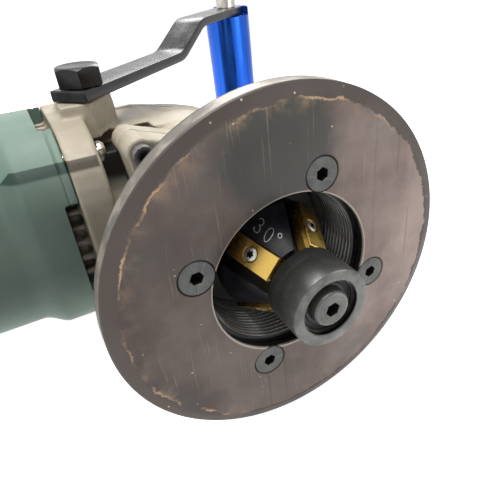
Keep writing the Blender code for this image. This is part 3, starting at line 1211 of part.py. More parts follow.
def make_shaft_bearings(body):
    """The ball bearings of the armature and the spindle, as sealed units."""
    motor_axis = Matrix.Translation(motor_place(0, 0)) @ ALONG_X
    front = SEAM_FRONT + SEAT_GAP * 2
    turned("armature_front_bearing", tube(SHAFT_RADIUS + SEAT_GAP, FRONT_SHAFT_BEARING_RADIUS, front,
                                          front + FRONT_SHAFT_BEARING_WIDTH), "bearing_steel", body,
                                          motor_axis, SMALL_STEPS)
    rear = REAR_WALL_FRONT - SEAT_GAP
    turned("armature_rear_bearing", tube(SHAFT_TAIL_RADIUS + SEAT_GAP, REAR_SHAFT_BEARING_RADIUS,
                                         rear - REAR_SHAFT_BEARING_WIDTH, rear), "bearing_steel", body,
                                         motor_axis, SMALL_STEPS)
    turned("spindle_front_bearing", tube(FRONT_BEARING_BORE_RADIUS, FRONT_BEARING_RADIUS,
                                         CAP_REAR_BACK - FRONT_BEARING_WIDTH, CAP_REAR_BACK),
                                         "bearing_steel", body, ALONG_Y,
           SMALL_STEPS)
    rear_seat = CAVITY_REAR_BACK + SEAT_GAP
    turned("spindle_rear_bearing", tube(REAR_BEARING_BORE_RADIUS, REAR_BEARING_RADIUS, rear_seat,
                                        rear_seat + REAR_BEARING_WIDTH), "bearing_steel", body, ALONG_Y,
                                        SMALL_STEPS)


def make_brush_gear(root, brush_bodies):
    """The brush carrier round the commutator and its two carbon brushes."""
    motor_axis = Matrix.Translation(motor_place(0, 0)) @ ALONG_X
    ring_outer = CORE_ROOM_RADIUS - SEAT_GAP
    half_u = BRUSH_WIDTH / 2 + SEAT_GAP
    half_v = BRUSH_BREADTH / 2 + SEAT_GAP
    brush = brush_place()
    carrier = turned("brush_carrier",
                     tube(ring_outer - CARRIER_RING_WALL, ring_outer, brush - half_u - HOLDER_WALL,
                                           brush + half_u + HOLDER_WALL), "black_plastic", root, motor_axis)
    holders = bmesh.new()
    slots = bmesh.new()
    for sign in (-1, 1):
        place = Matrix.Translation((brush, MOTOR_AXIS_BACK, 0)) @ Matrix.Rotation(-sign * math.pi / 2, 4,
                                                                                  "X")
        add_prism(holders, rectangle(half_u + HOLDER_WALL, half_v + HOLDER_WALL), HOLDER_INNER_REACH,
                  ring_outer - CARRIER_RING_WALL / 2, place)
        add_prism(slots, rectangle(half_u, half_v), HOLDER_INNER_REACH - CUT_OVERRUN,
                  ring_outer + CUT_OVERRUN, place)
    shape(carrier, "brush_carrier_holders", holders, "UNION")
    shape(carrier, "brush_carrier_slots", slots)
    start = COMMUTATOR_RADIUS + SEAT_GAP
    for (name, body), sign in zip(brush_bodies, (-1, 1)):
        bm = bmesh.new()
        place = Matrix.Rotation(-sign * math.pi / 2, 4, "X")
        add_prism(bm, rectangle(BRUSH_WIDTH / 2, BRUSH_BREADTH / 2), start, start + BRUSH_LENGTH, place)
        finish_piece(name, bm, "carbon", body)


def make_armature(body):
    """Everything that turns with the motor shaft, in the armature's own frame."""
    shaft_end = REAR_WALL_FRONT - SEAT_GAP - REAR_SHAFT_BEARING_WIDTH
    step_rear = REAR_WALL_FRONT + SEAT_GAP
    turned("armature_shaft", [
        (0, shaft_end), (SHAFT_TAIL_RADIUS, shaft_end), (SHAFT_TAIL_RADIUS, step_rear),
        (SHAFT_RADIUS, step_rear),
        (SHAFT_RADIUS, SHAFT_STEP_FRONT), (SHAFT_NOSE_RADIUS, SHAFT_STEP_FRONT),
        (SHAFT_NOSE_RADIUS, SHAFT_FRONT),
        (0, SHAFT_FRONT),
    ], "ground_steel", body, ALONG_X, SMALL_STEPS)
    bore = SHAFT_RADIUS + SEAT_GAP
    core_end = CORE_FRONT - CORE_LENGTH
    core = turned("armature_core", tube(bore, ARMATURE_RADIUS, core_end, CORE_FRONT), "core_steel", body,
                  ALONG_X)
    slots = bmesh.new()
    for angle in spaced(0.0, ARMATURE_SLOTS):
        place = ALONG_X @ Matrix.Rotation(angle, 4, "Z")
        depth = ARMATURE_SLOT_DEPTH + CUT_OVERRUN
        centre = ARMATURE_RADIUS + CUT_OVERRUN - depth / 2
        add_prism(slots, rectangle(depth / 2, ARMATURE_SLOT_WIDTH / 2, centre), core_end - CUT_OVERRUN,
                  CORE_FRONT + CUT_OVERRUN, place)
    shape(core, "armature_core_slots", slots)
    windings = bmesh.new()
    front = CORE_FRONT + SEAT_GAP
    rear = core_end - SEAT_GAP
    edge = WINDING_EDGE
    add_turned(windings, [
        (bore, front), (WINDING_RADIUS, front), (WINDING_RADIUS, front + WINDING_FRONT_LENGTH - edge),
        (WINDING_RADIUS - edge, front + WINDING_FRONT_LENGTH), (bore, front + WINDING_FRONT_LENGTH),
    ], ALONG_X, SMALL_STEPS)
    add_turned(windings, [
        (bore, rear), (WINDING_RADIUS, rear), (WINDING_RADIUS, rear - WINDING_REAR_LENGTH + edge),
        (WINDING_RADIUS - edge, rear - WINDING_REAR_LENGTH), (bore, rear - WINDING_REAR_LENGTH),
    ], ALONG_X, SMALL_STEPS)
    winding = finish_piece("armature_winding", windings, "copper_wire", body)
    bars = bmesh.new()
    for angle in spaced(0.0, ARMATURE_SLOTS):
        place = ALONG_X @ Matrix.Rotation(angle, 4, "Z")
        inner = ARMATURE_RADIUS - ARMATURE_SLOT_DEPTH + SEAT_GAP
        add_prism(bars, rectangle((WINDING_BAR_REACH - inner) / 2, ARMATURE_SLOT_WIDTH / 2 - SEAT_GAP,
                                  (WINDING_BAR_REACH + inner) / 2), rear - edge, front + edge, place)
    shape(winding, "armature_winding_bars", bars, "UNION")
    turned("commutator",
           tube(bore, COMMUTATOR_RADIUS, COMMUTATOR_FRONT - COMMUTATOR_LENGTH, COMMUTATOR_FRONT),
           "copper_wire", body, ALONG_X, ROUND_STEPS)

    fan_end = FAN_FRONT - FAN_LENGTH
    fan = turned("cooling_fan", [
        (bore, fan_end), (FAN_RADIUS, fan_end), (FAN_RADIUS, fan_end + FAN_DISC),
        (FAN_HUB_RADIUS, fan_end + FAN_DISC),
        (FAN_HUB_RADIUS, FAN_FRONT), (bore, FAN_FRONT),
    ], "black_plastic", body, ALONG_X)
    blades = bmesh.new()
    for angle in spaced(0.0, FAN_BLADE_COUNT):
        place = ALONG_X @ Matrix.Rotation(angle, 4, "Z")
        half = (FAN_RADIUS - FAN_HUB_RADIUS + FAN_DISC) / 2
        add_prism(blades, rectangle(half, FAN_BLADE_THICKNESS / 2, FAN_RADIUS - FAN_DISC / 4 - half),
                  fan_end + FAN_DISC / 2, FAN_FRONT - FAN_DISC / 2, place)
    shape(fan, "cooling_fan_blades", blades, "UNION")


def toothed_ring(teeth, radius, along, growth, phase):
    """A ring of points whose teeth grow a radius and a height by (radial, axial) steps."""
    pitch = math.tau / teeth
    tip, root = TOOTH_TIP_SHARE / 2, TOOTH_ROOT_SHARE / 2
    points = []
    for tooth in range(teeth):
        middle = phase + tooth * pitch
        for share, side in ((root, -1), (tip, -1), (tip, 1), (root, 1)):
            amount = TOOTH_ADDENDUM_SHARE if share == tip else -TOOTH_DEDENDUM_SHARE
            angle = middle + side * share * pitch
            local = radius + growth[0] * amount
            points.append((local * math.cos(angle), local * math.sin(angle), along + growth[1] * amount))
    return points


def plain_ring(teeth, radius, along, phase):
    """A round ring of points that matches a toothed one."""
    return [
        (radius * point[0] / math.hypot(point[0], point[1]),
         radius * point[1] / math.hypot(point[0], point[1]), along)
        for point in toothed_ring(teeth, radius, along, (0.0, 0.0), phase)
    ]


def make_bevel_gears(armature_body, spindle_body):
    """The pinion on the motor shaft and the crown gear on the spindle, in mesh."""
    ratio = PINION_TEETH / GEAR_TEETH
    module = 2 * GEAR_OUTER_RADIUS / GEAR_TEETH
    inner_share = GEAR_INNER_RADIUS / GEAR_OUTER_RADIUS
    outer_pinion = PINION_OUTER_RADIUS
    inner_pinion = outer_pinion * inner_share
    phase = math.pi
    rings = [
        plain_ring(PINION_TEETH, PINION_BORE_RADIUS, -GEAR_OUTER_RADIUS, phase),
        toothed_ring(PINION_TEETH, outer_pinion, -GEAR_OUTER_RADIUS, (module, 0.0), phase),
        toothed_ring(PINION_TEETH, inner_pinion, -GEAR_INNER_RADIUS, (module * inner_share, 0.0), phase),
        plain_ring(PINION_TEETH, PINION_BORE_RADIUS, -GEAR_INNER_RADIUS, phase),
    ]
    bm = bmesh.new()
    join_rings(bm, [[bm.verts.new(ALONG_X @ Vector(point)) for point in ring] for ring in rings], True)
    finish_piece("pinion_gear", bm, "ground_steel", armature_body)

    outer_back = MOTOR_AXIS_BACK - GEAR_OUTER_RADIUS * ratio
    inner_back = MOTOR_AXIS_BACK - GEAR_INNER_RADIUS * ratio
    gap_phase = math.pi + math.pi / GEAR_TEETH
    rings = [
        plain_ring(GEAR_TEETH, GEAR_BORE_RADIUS, GEAR_BACK, gap_phase),
        plain_ring(GEAR_TEETH, GEAR_BORE_RADIUS, inner_back - module * TOOTH_DEDENDUM_SHARE, gap_phase),
        toothed_ring(GEAR_TEETH, GEAR_INNER_RADIUS, inner_back, (0.0, module * inner_share), gap_phase),
        toothed_ring(GEAR_TEETH, GEAR_OUTER_RADIUS, outer_back, (0.0, module), gap_phase),
        plain_ring(GEAR_TEETH, GEAR_OUTER_RADIUS, GEAR_RIM_BACK, gap_phase),
    ]
    bm = bmesh.new()
    join_rings(bm, [[bm.verts.new(ALONG_Y @ Vector(point)) for point in ring] for ring in rings], True)
    gear = finish_piece("crown_gear", bm, "ground_steel", spindle_body)
    holes = bmesh.new()
    top = inner_back + module
    for azimuth in spaced(0.0, LOCK_HOLE_COUNT):
        place = Matrix.Translation(around(LOCK_HOLE_CIRCLE, azimuth, 0)) @ ALONG_Y
        add_turned(holes, rod(LOCK_HOLE_RADIUS, top - LOCK_HOLE_DEPTH, top + CUT_OVERRUN), place,
                   TINY_STEPS)
    shape(gear, "crown_gear_lock_holes", holes)


def make_spindle(body):
    """The spindle, from the cutter's seat back to its rear bearing."""
    shoulder_end = SPINDLE_SHOULDER_BACK + SPINDLE_SHOULDER_LENGTH
    bearing_front = CAP_REAR_BACK - FRONT_BEARING_WIDTH - SEAT_GAP
    turned("spindle", [
        (0, SPINDLE_HOLE_BACK), (SPINDLE_HOLE_RADIUS, SPINDLE_HOLE_BACK),
        (SPINDLE_HOLE_RADIUS, SPINDLE_NOSE_BACK),
        (SPINDLE_NOSE_RADIUS, SPINDLE_NOSE_BACK), (SPINDLE_NOSE_RADIUS, SPINDLE_SHOULDER_BACK),
        (SPINDLE_SHOULDER_RADIUS, SPINDLE_SHOULDER_BACK), (SPINDLE_SHOULDER_RADIUS, shoulder_end),
        (SPINDLE_BODY_RADIUS, shoulder_end), (SPINDLE_BODY_RADIUS, bearing_front),
        (SPINDLE_BEARING_RADIUS, bearing_front), (SPINDLE_BEARING_RADIUS, GEAR_BACK - SEAT_GAP),
        (SPINDLE_GEAR_RADIUS, GEAR_BACK - SEAT_GAP), (SPINDLE_GEAR_RADIUS, SPINDLE_GEAR_END_BACK),
        (SPINDLE_TAIL_RADIUS, SPINDLE_GEAR_END_BACK), (SPINDLE_TAIL_RADIUS, SPINDLE_TAIL_BACK),
        (0, SPINDLE_TAIL_BACK),
    ], "ground_steel", body, ALONG_Y, SMALL_STEPS)


def make_cutter_head(body):
    """The black cone that carries the inserts, with a pocket and a gullet for each."""
    bore = SPINDLE_NOSE_RADIUS + SEAT_GAP
    rear = SPINDLE_SHOULDER_BACK - SEAT_GAP
    nose_bore = PILOT_SHOULDER_RADIUS + SEAT_GAP
    nose_front = CONE_SMALL_BACK - CUTTER_NOSE_LENGTH
    step = SPINDLE_NOSE_BACK - SEAT_GAP
    cutter = turned("cutter_head", [
        (nose_bore, nose_front), (CUTTER_NOSE_RADIUS, nose_front), (CUTTER_NOSE_RADIUS, CONE_SMALL_BACK),
        (CONE_SMALL_RADIUS, CONE_SMALL_BACK), (CONE_BIG_RADIUS, CONE_BIG_BACK),
        (CONE_BIG_RADIUS, CUTTER_BODY_BACK),
        (CUTTER_HUB_RADIUS, rear), (bore, rear), (bore, step), (nose_bore, step),
    ], "black_oxide", body, ALONG_Y)
    pockets = bmesh.new()
    screw_holes = bmesh.new()
    half_length = INSERT_LENGTH / 2 + CUT_OVERRUN
    for azimuth in spaced(INSERT_AZIMUTH, INSERT_COUNT):
        frame = insert_frame(azimuth)
        pocket_side = INSERT_WIDTH / 2 + SEAT_GAP
        floor = INSERT_PROUD - INSERT_THICKNESS - SEAT_GAP
        gullet_side = -INSERT_WIDTH / 2 - GULLET_WIDTH
        gullet_floor = INSERT_PROUD - GULLET_DEPTH - SEAT_GAP
        roof = INSERT_PROUD + CUT_OVERRUN
        outline = [(gullet_side - GULLET_SLOPE, roof), (gullet_side, gullet_floor),
                   (-INSERT_WIDTH / 2 - SEAT_GAP, gullet_floor), (-INSERT_WIDTH / 2, floor),
                   (pocket_side, floor),
                   (pocket_side, roof)]
        add_loft(pockets, [(-half_length, [(u, v) for u, v in outline]),
                           (half_length, [(u, v) for u, v in outline])],
                 frame @ Matrix(((1, 0, 0, 0), (0, 0, 1, 0), (0, 1, 0, 0), (0, 0, 0, 1))))
        depth = INSERT_PROUD - INSERT_SCREW_LENGTH - SEAT_GAP * 2
        add_turned(screw_holes, rod(INSERT_SCREW_SHANK_RADIUS + SEAT_GAP, depth, roof), frame, TINY_STEPS)
    shape(cutter, "cutter_head_pockets", pockets)
    shape(cutter, "cutter_head_screw_holes", screw_holes)


def make_inserts(body):
    """Four rectangular inserts, each held by a screw."""
    half_u, half_v = INSERT_WIDTH / 2, INSERT_LENGTH / 2
    low = INSERT_PROUD - INSERT_THICKNESS
    head_end = INSERT_PROUD - INSERT_SCREW_HEAD_DEPTH
    rim = INSERT_PROUD - INSERT_SCREW_SOCKET_DEPTH
    for number, azimuth in enumerate(spaced(INSERT_AZIMUTH, INSERT_COUNT), 1):
        frame = insert_frame(azimuth)
        bm = bmesh.new()
        add_loft(bm, [
            (low, rectangle(half_u, half_v)), (INSERT_PROUD - INSERT_EDGE, rectangle(half_u, half_v)),
            (INSERT_PROUD, rectangle(half_u - INSERT_EDGE, half_v - INSERT_EDGE)),
        ], frame)
        insert = finish_piece("cutter_insert_" + str(number), bm, "gold_carbide", body)
        profile = [
            (INSERT_SCREW_SHANK_RADIUS, INSERT_PROUD - INSERT_SCREW_LENGTH),
            (INSERT_SCREW_SHANK_RADIUS, head_end),
            (INSERT_SCREW_HEAD_RADIUS, rim), (INSERT_SCREW_HEAD_RADIUS, INSERT_PROUD - SEAT_GAP / 2),
        ]
        hole = bmesh.new()
        wide = [(radius + SEAT_GAP, along) for radius, along in profile]
        wide[-1] = (wide[-1][0], INSERT_PROUD + CUT_OVERRUN)
        add_turned(hole, plugged(wide), frame, TINY_STEPS)
        shape(insert, "cutter_insert_hole_" + str(number), hole)
        socket_screw("insert_screw_" + str(number), profile, INSERT_SCREW_SOCKET_RADIUS,
                     INSERT_SCREW_SOCKET_DEPTH,
                     "zinc_steel", body, frame, TINY_STEPS)


def make_pilot(spindle_body, roller_body):
    """The guide roller with its bearing, its retaining ring and its screw."""
    chamfer = ROLLER_CHAMFER
    front, rear = ROLLER_FRONT_BACK, ROLLER_REAR_BACK
    groove_rear = RETAINER_BACK + RETAINER_THICKNESS + SEAT_GAP
    groove_front = RETAINER_BACK - SEAT_GAP
    turned("guide_roller", [
        (ROLLER_MOUTH_RADIUS, front), (ROLLER_RADIUS - chamfer, front), (ROLLER_RADIUS, front + chamfer),
        (ROLLER_RADIUS, rear - chamfer), (ROLLER_RADIUS - chamfer, rear), (ROLLER_BORE_RADIUS, rear),
        (ROLLER_BORE_RADIUS, groove_rear), (RETAINER_GROOVE_RADIUS, groove_rear),
        (RETAINER_GROOVE_RADIUS, groove_front),
        (ROLLER_BORE_RADIUS, groove_front), (ROLLER_BORE_RADIUS, front + ROLLER_MOUTH_DEPTH),
        (ROLLER_MOUTH_RADIUS, front + ROLLER_MOUTH_DEPTH),
    ], "ground_steel", roller_body, ALONG_Y)
    turned("roller_bearing", tube(PILOT_SHOULDER_RADIUS + SEAT_GAP, ROLLER_BORE_RADIUS - SEAT_GAP,
                                  ROLLER_BEARING_FRONT_BACK,
                                  ROLLER_BEARING_FRONT_BACK + ROLLER_BEARING_LENGTH),
           "bearing_steel", spindle_body, ALONG_Y)
    clip = turned("retaining_ring",
                  tube(RETAINER_INNER_RADIUS, RETAINER_GROOVE_RADIUS - SEAT_GAP, RETAINER_BACK,
                                         RETAINER_BACK + RETAINER_THICKNESS), "zinc_steel", roller_body,
                                         ALONG_Y)
    mouth = bmesh.new()
    width = RETAINER_GROOVE_RADIUS * math.tan(RETAINER_OPENING / 2)
    add_prism(mouth, [(0, 0), (ROLLER_RADIUS, -width), (ROLLER_RADIUS, width)], RETAINER_BACK - CUT_OVERRUN,
              RETAINER_BACK + RETAINER_THICKNESS + CUT_OVERRUN,
              ALONG_Y @ Matrix.Rotation(RETAINER_AZIMUTH, 4, "Z"))
    shape(clip, "retaining_ring_opening", mouth)

    head_front = ROLLER_FRONT_BACK - PILOT_SCREW_PROUD
    seat = ROLLER_BEARING_FRONT_BACK - SEAT_GAP
    shoulder_end = SPINDLE_NOSE_BACK - SEAT_GAP
    edge = PILOT_SCREW_CHAMFER
    socket_screw("pilot_screw", [
        (PILOT_SCREW_SHANK_RADIUS, PILOT_SCREW_END_BACK), (PILOT_SCREW_SHANK_RADIUS, shoulder_end),
        (PILOT_SHOULDER_RADIUS, shoulder_end), (PILOT_SHOULDER_RADIUS, seat),
        (PILOT_SCREW_HEAD_RADIUS, seat),
        (PILOT_SCREW_HEAD_RADIUS, head_front + edge), (PILOT_SCREW_HEAD_RADIUS - edge, head_front),
    ], PILOT_SCREW_SOCKET_RADIUS, PILOT_SCREW_SOCKET_DEPTH, "ground_steel", spindle_body, ALONG_Y,
    PILOT_STEPS)


def make_bracket(root, bar_body):
    """The hexagon bolt, the stepped bar and its cap screw."""
    place = Matrix.Translation((BOLT_FORWARD, BOLT_BACK, 0))
    seat = BAR_TOP + SEAT_GAP
    crown = seat + BOLT_HEAD_HEIGHT
    turn = Matrix.Rotation(BOLT_HEX_TURN, 4, "Z")
    chamfer = BOLT_ACROSS_FLATS * (1 - BOLT_CROWN_SHARE) / 2
    full = hexagon(BOLT_ACROSS_FLATS / math.sqrt(3), SCREW_STEPS)
    crown_ring = regular(SCREW_STEPS, BOLT_ACROSS_FLATS / 2 * BOLT_CROWN_SHARE)
    bm = bmesh.new()
    add_loft(bm, [(seat, full), (crown - chamfer, full), (crown, crown_ring)], place @ turn)
    bolt = finish_piece("bracket_bolt", bm, "black_oxide", root)
    shank = bmesh.new()
    add_turned(shank, rod(BOLT_RADIUS, seat - BOLT_LENGTH, seat + BOLT_HEAD_HEIGHT / 2), place, SMALL_STEPS)
    shape(bolt, "bracket_bolt_shank", shank, "UNION")

    low = BAR_TOP - BAR_THICKNESS
    near, far = -BAR_END_OVERHANG, HANDLE_REACH + HANDLE_LIP_START - SEAT_GAP
    side = [
        (near, low), (BAR_FIRST_BEND, low), (BAR_SECOND_BEND, low + BAR_RISE), (far, low + BAR_RISE),
        (far, BAR_TOP + BAR_RISE), (BAR_SECOND_BEND, BAR_TOP + BAR_RISE), (BAR_FIRST_BEND, BAR_TOP),
        (near, BAR_TOP),
    ]
    half = BAR_WIDTH / 2
    upright = bar_frame() @ Matrix.Rotation(math.pi / 2, 4, "X")
    bm = bmesh.new()
    edge = BAR_END_CHAMFER
    inner = [(max(u, near + edge), v) for u, v in side]
    add_loft(bm, [(-half, inner), (-half + edge, side), (half - edge, side), (half, inner)], upright)
    bar = finish_piece("bracket_bar", bm, "black_oxide", bar_body)
    holes = bmesh.new()
    add_turned(holes, rod(BOLT_RADIUS + SEAT_GAP, low - CUT_OVERRUN, BAR_TOP + CUT_OVERRUN), ALONG_Z,
               SMALL_STEPS)
    end = bar_frame() @ Matrix.Translation((HANDLE_REACH, 0, 0))
    add_turned(holes,
               rod(HANDLE_SCREW_RADIUS + SEAT_GAP, low + BAR_RISE - CUT_OVERRUN, HANDLE_TOP + CUT_OVERRUN),
               end, SMALL_STEPS)
    shape(bar, "bracket_bar_holes", holes)

    head_low = HANDLE_TOP + SEAT_GAP
    head_top = head_low + HANDLE_SCREW_HEAD_HEIGHT
    socket_screw("handle_screw", [
        (HANDLE_SCREW_RADIUS, head_low - HANDLE_SCREW_LENGTH), (HANDLE_SCREW_RADIUS, head_low),
        (HANDLE_SCREW_HEAD_RADIUS, head_low), (HANDLE_SCREW_HEAD_RADIUS, head_top - HANDLE_CHAMFER),
        (HANDLE_SCREW_HEAD_RADIUS - HANDLE_CHAMFER, head_top),
    ], HANDLE_SCREW_SOCKET_RADIUS, HANDLE_SCREW_SOCKET_DEPTH, "zinc_steel", bar_body, end, SCREW_STEPS)


def make_cross_handle(bar_body, foot):
    """The anodised cross handle, let in for the bar at its top."""
    end = bar_frame() @ Matrix.Translation((HANDLE_REACH, 0, 0))
    radius, chamfer = HANDLE_RADIUS, HANDLE_CHAMFER
    handle = turned("cross_handle", [
        (0, foot), (radius - chamfer, foot), (radius, foot + chamfer), (radius, HANDLE_TOP - chamfer),
        (radius - chamfer, HANDLE_TOP), (0, HANDLE_TOP),
    ], "blue_anodised", bar_body, end)
    cuts = bmesh.new()
    step = HANDLE_TOP - BAR_THICKNESS - SEAT_GAP
    add_prism(cuts, [
        (-radius - CUT_OVERRUN, -radius - CUT_OVERRUN), (HANDLE_LIP_START, -radius - CUT_OVERRUN),
        (HANDLE_LIP_START, radius + CUT_OVERRUN), (-radius - CUT_OVERRUN, radius + CUT_OVERRUN),
    ], step, HANDLE_TOP + CUT_OVERRUN, end)
    shape(handle, "cross_handle_step", cuts)
    hole = bmesh.new()
    depth = HANDLE_TOP - HANDLE_SCREW_LENGTH - PLATE_SCREW_END_ROOM
    add_turned(hole, rod(HANDLE_SCREW_RADIUS + SEAT_GAP, depth, HANDLE_TOP), end, SMALL_STEPS)
    shape(handle, "cross_handle_hole", hole)


def make_lock_button(body):
    """The spindle lock: a sprung button whose pin drops into the crown gear."""
    top = CASE_REAR_BACK + BUTTON_TOP_STAND
    seat = top - BUTTON_HEIGHT
    turned("lock_button", [
        (0, LOCK_PIN_TIP_BACK), (LOCK_PIN_RADIUS, LOCK_PIN_TIP_BACK), (LOCK_PIN_RADIUS, seat),
        (BUTTON_RADIUS, seat),
        (BUTTON_RADIUS, top - BUTTON_ROUND), (BUTTON_RADIUS - BUTTON_ROUND, top), (0, top),
    ], "black_plastic", body, ALONG_Y, SMALL_STEPS)


def rest_tilt():
    """The turn about Y that lays the plate's rim and the tail's end on one floor."""
    low = Vector((TAIL_END, -TAIL_HALF))
    tilt = 0.0
    for _ in range(30):
        tilt = math.asin((PLATE_RADIUS + low.y * math.cos(tilt)) / -low.x)
    return tilt


def handle_foot(tilt):
    """The height of the cross handle's lower end, so that its edge meets the floor."""
    forward = BOLT_FORWARD + HANDLE_REACH * math.cos(BAR_AZIMUTH) + (HANDLE_RADIUS - HANDLE_CHAMFER)
    return (-PLATE_RADIUS - forward * math.sin(tilt)) / math.cos(tilt)


def world_corners(pieces):
    """The lowest and highest corners of the finished pieces, in world space."""
    bpy.context.view_layer.update()
    graph = bpy.context.evaluated_depsgraph_get()
    points = []
    for piece in pieces:
        solid = piece.evaluated_get(graph)
        mesh = solid.to_mesh()
        points += [solid.matrix_world @ vert.co for vert in mesh.vertices]
        solid.to_mesh_clear()
    low = Vector([min(point[k] for point in points) for k in range(3)])
    high = Vector([max(point[k] for point in points) for k in range(3)])
    return low, high


def main():
    for old in list(bpy.data.objects):
        bpy.data.objects.remove(old)
    tilt = rest_tilt()
    root = body_empty("tool_frame", None)
    root.rotation_euler = (0, -tilt, 0)
    machine = body_empty("machine_body", root)
    armature = body_empty("armature_body", root, (0, MOTOR_AXIS_BACK, 0))
    spindle = body_empty("spindle_body", root)
    roller = body_empty("roller_body", root)
    ring = body_empty("ring_body", root)
    plate = body_empty("plate_body", root)
    lock_screw = body_empty("lock_screw_body", root, (0, LOCK_SCREW_BACK, 0))
    bar = body_empty("bar_body", root, (BOLT_FORWARD, BOLT_BACK, 0))
    slider = body_empty("slider_body", root, (SWITCH_FORWARD, MOTOR_AXIS_BACK, 0))
    button = body_empty("button_body", root, (LOCK_HOLE_CIRCLE, 0, 0))
    brush = brush_place()
    near_brush = body_empty("near_brush_body", root, (brush, MOTOR_AXIS_BACK, 0))
    far_brush = body_empty("far_brush_body", root, (brush, MOTOR_AXIS_BACK, 0))

    make_base_plate(plate)
    make_plate_screws(plate)
    make_depth_collar(plate)
    make_wiper_ring(ring)
    make_lock_screw(lock_screw)
    make_threaded_sleeve(machine)
    make_bearing_cap(machine)
    make_cap_screws(machine)
    make_gear_head(machine)
    make_flange_screws(machine)
    make_motor_housing(machine)
    make_tail_cover(machine)
    make_tail_screw(machine)
    make_cord_gland(machine)
    make_switch(machine, slider)
    make_field(machine)
    make_shaft_bearings(machine)
    make_brush_gear(machine, (("carbon_brush_near", near_brush), ("carbon_brush_far", far_brush)))
    make_armature(armature)
    make_bevel_gears(armature, spindle)
    make_spindle(spindle)
    make_cutter_head(spindle)
    make_inserts(spindle)
    make_pilot(spindle, roller)
    make_bracket(machine, bar)
    make_cross_handle(bar, handle_foot(tilt))
    make_lock_button(button)

    pieces = [obj for obj in bpy.data.objects if obj.type == "MESH" and not obj.hide_render]
    low, high = world_corners(pieces)
    root.location = (-(low.x + high.x) / 2, -(low.y + high.y) / 2, -low.z)


main()
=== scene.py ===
"""The edge beveling machine, dressed: fine pieces, finishes, studio and camera.

Shapes are drawn in the tool's own frame: X along the motor towards the gear head, Y along the
spindle away from the workpiece, Z along the bracket bolt, from the middle of the guide plate's face.
"""
import json
import math
import bpy
import bmesh
from mathutils import Matrix, Vector


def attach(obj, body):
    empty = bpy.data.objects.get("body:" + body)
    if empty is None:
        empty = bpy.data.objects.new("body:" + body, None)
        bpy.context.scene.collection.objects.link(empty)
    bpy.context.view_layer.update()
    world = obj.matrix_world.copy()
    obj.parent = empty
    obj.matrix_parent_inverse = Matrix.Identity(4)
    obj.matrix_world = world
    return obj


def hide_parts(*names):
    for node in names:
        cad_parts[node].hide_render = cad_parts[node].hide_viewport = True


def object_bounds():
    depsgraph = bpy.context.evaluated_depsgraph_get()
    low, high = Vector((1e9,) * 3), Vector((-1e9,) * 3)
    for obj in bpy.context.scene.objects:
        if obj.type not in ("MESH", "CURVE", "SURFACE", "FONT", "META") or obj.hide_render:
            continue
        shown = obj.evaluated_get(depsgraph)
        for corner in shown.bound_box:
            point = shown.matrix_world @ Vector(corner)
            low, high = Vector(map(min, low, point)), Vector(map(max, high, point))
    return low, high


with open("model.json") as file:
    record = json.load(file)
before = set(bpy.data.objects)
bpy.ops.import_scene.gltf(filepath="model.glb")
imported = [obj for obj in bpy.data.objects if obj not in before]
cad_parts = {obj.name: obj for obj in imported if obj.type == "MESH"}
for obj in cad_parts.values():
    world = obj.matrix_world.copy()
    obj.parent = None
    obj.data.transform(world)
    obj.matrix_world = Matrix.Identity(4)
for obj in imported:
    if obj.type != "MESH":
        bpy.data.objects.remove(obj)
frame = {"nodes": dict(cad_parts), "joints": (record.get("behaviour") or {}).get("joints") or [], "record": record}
CAD_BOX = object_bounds()
NODES = frame["nodes"]
JOINTS = {joint["name"]: joint for joint in frame["joints"]}
SLOT_OF = {part["node"]: part["material_slot"] for part in frame["record"]["subparts"]}
BODY_OF = {node: body for body, nodes in frame["record"]["behaviour"]["bodies"].items() for node in nodes}

# The tool's frame in the row frame
FORWARD = Vector(JOINTS["armature_spin"]["axis"]).normalized()
UP = Vector(JOINTS["handle_swing"]["axis"]).normalized()
BACK = UP.cross(FORWARD)
TOOL = Matrix((FORWARD, BACK, UP)).transposed().to_4x4()
TOOL.translation = Vector(JOINTS["spindle_spin"]["pos_m"])
TO_TOOL = TOOL.inverted()

# Ways to lay a shape's own Z axis
ALONG_X = Matrix(((0, 0, 1, 0), (1, 0, 0, 0), (0, 1, 0, 0), (0, 0, 0, 1)))
ALONG_Y = Matrix.Rotation(-math.pi / 2, 4, "X")
ALONG_Z = Matrix.Identity(4)

# Sizes in metres, the same as the solids'
GAP = 0.0003
PLATE_RADIUS = 0.065
PLATE_BORE = 0.0305
PLATE_THICK = 0.008
PLATE_LIP = 0.0032
PLATE_REGISTER = 0.0330
SCREW_CIRCLE = 0.0366
SCREW_AZIMUTH = math.radians(160)
SCREW_HEAD = 0.0061
THREAD_CREST = 0.0294
THREAD_ROOT = 0.0304
THREAD_PITCH = 0.0020
COLLAR_NOSE = 0.0053
COLLAR_OUT = 0.0425
COLLAR_END = 0.0440
WIPER_FRONT = 0.0401
WIPER_OUT = 0.0333
MOTOR_BACK = 0.1055
SEAM = -0.0563
BODY_HALF = 0.0420
BODY_CORNER = 0.0360
FLANGE_HALF = 0.0440
FLANGE_CORNER = 0.0310
FLARE_START = SEAM - 0.0167
BODY_START = FLARE_START - 0.0105
HOUSING_END = SEAM - 0.1322
CONE_ANGLE = math.radians(30)
CONE_SMALL = 0.01235
CONE_FRONT = -0.0026
CONE_REAR = 0.0135
CONE_BIG = CONE_SMALL + (CONE_REAR - CONE_FRONT) * math.tan(CONE_ANGLE)
INSERT_AZIMUTH = math.radians(141)
INSERT_WIDE = 0.0087
INSERT_LONG = 0.0198
INSERT_THICK = 0.0058
INSERT_PROUD = 0.0009
BOLT_X = -0.0390
BOLT_Y = 0.1010
BAR_AZIMUTH = math.radians(42)
BAR_LOW = 0.0491
BAR_TOP = 0.0537
BAR_HALF = 0.0087
BAR_RISE = 0.0130
BAR_BENDS = (0.0750, 0.1035)
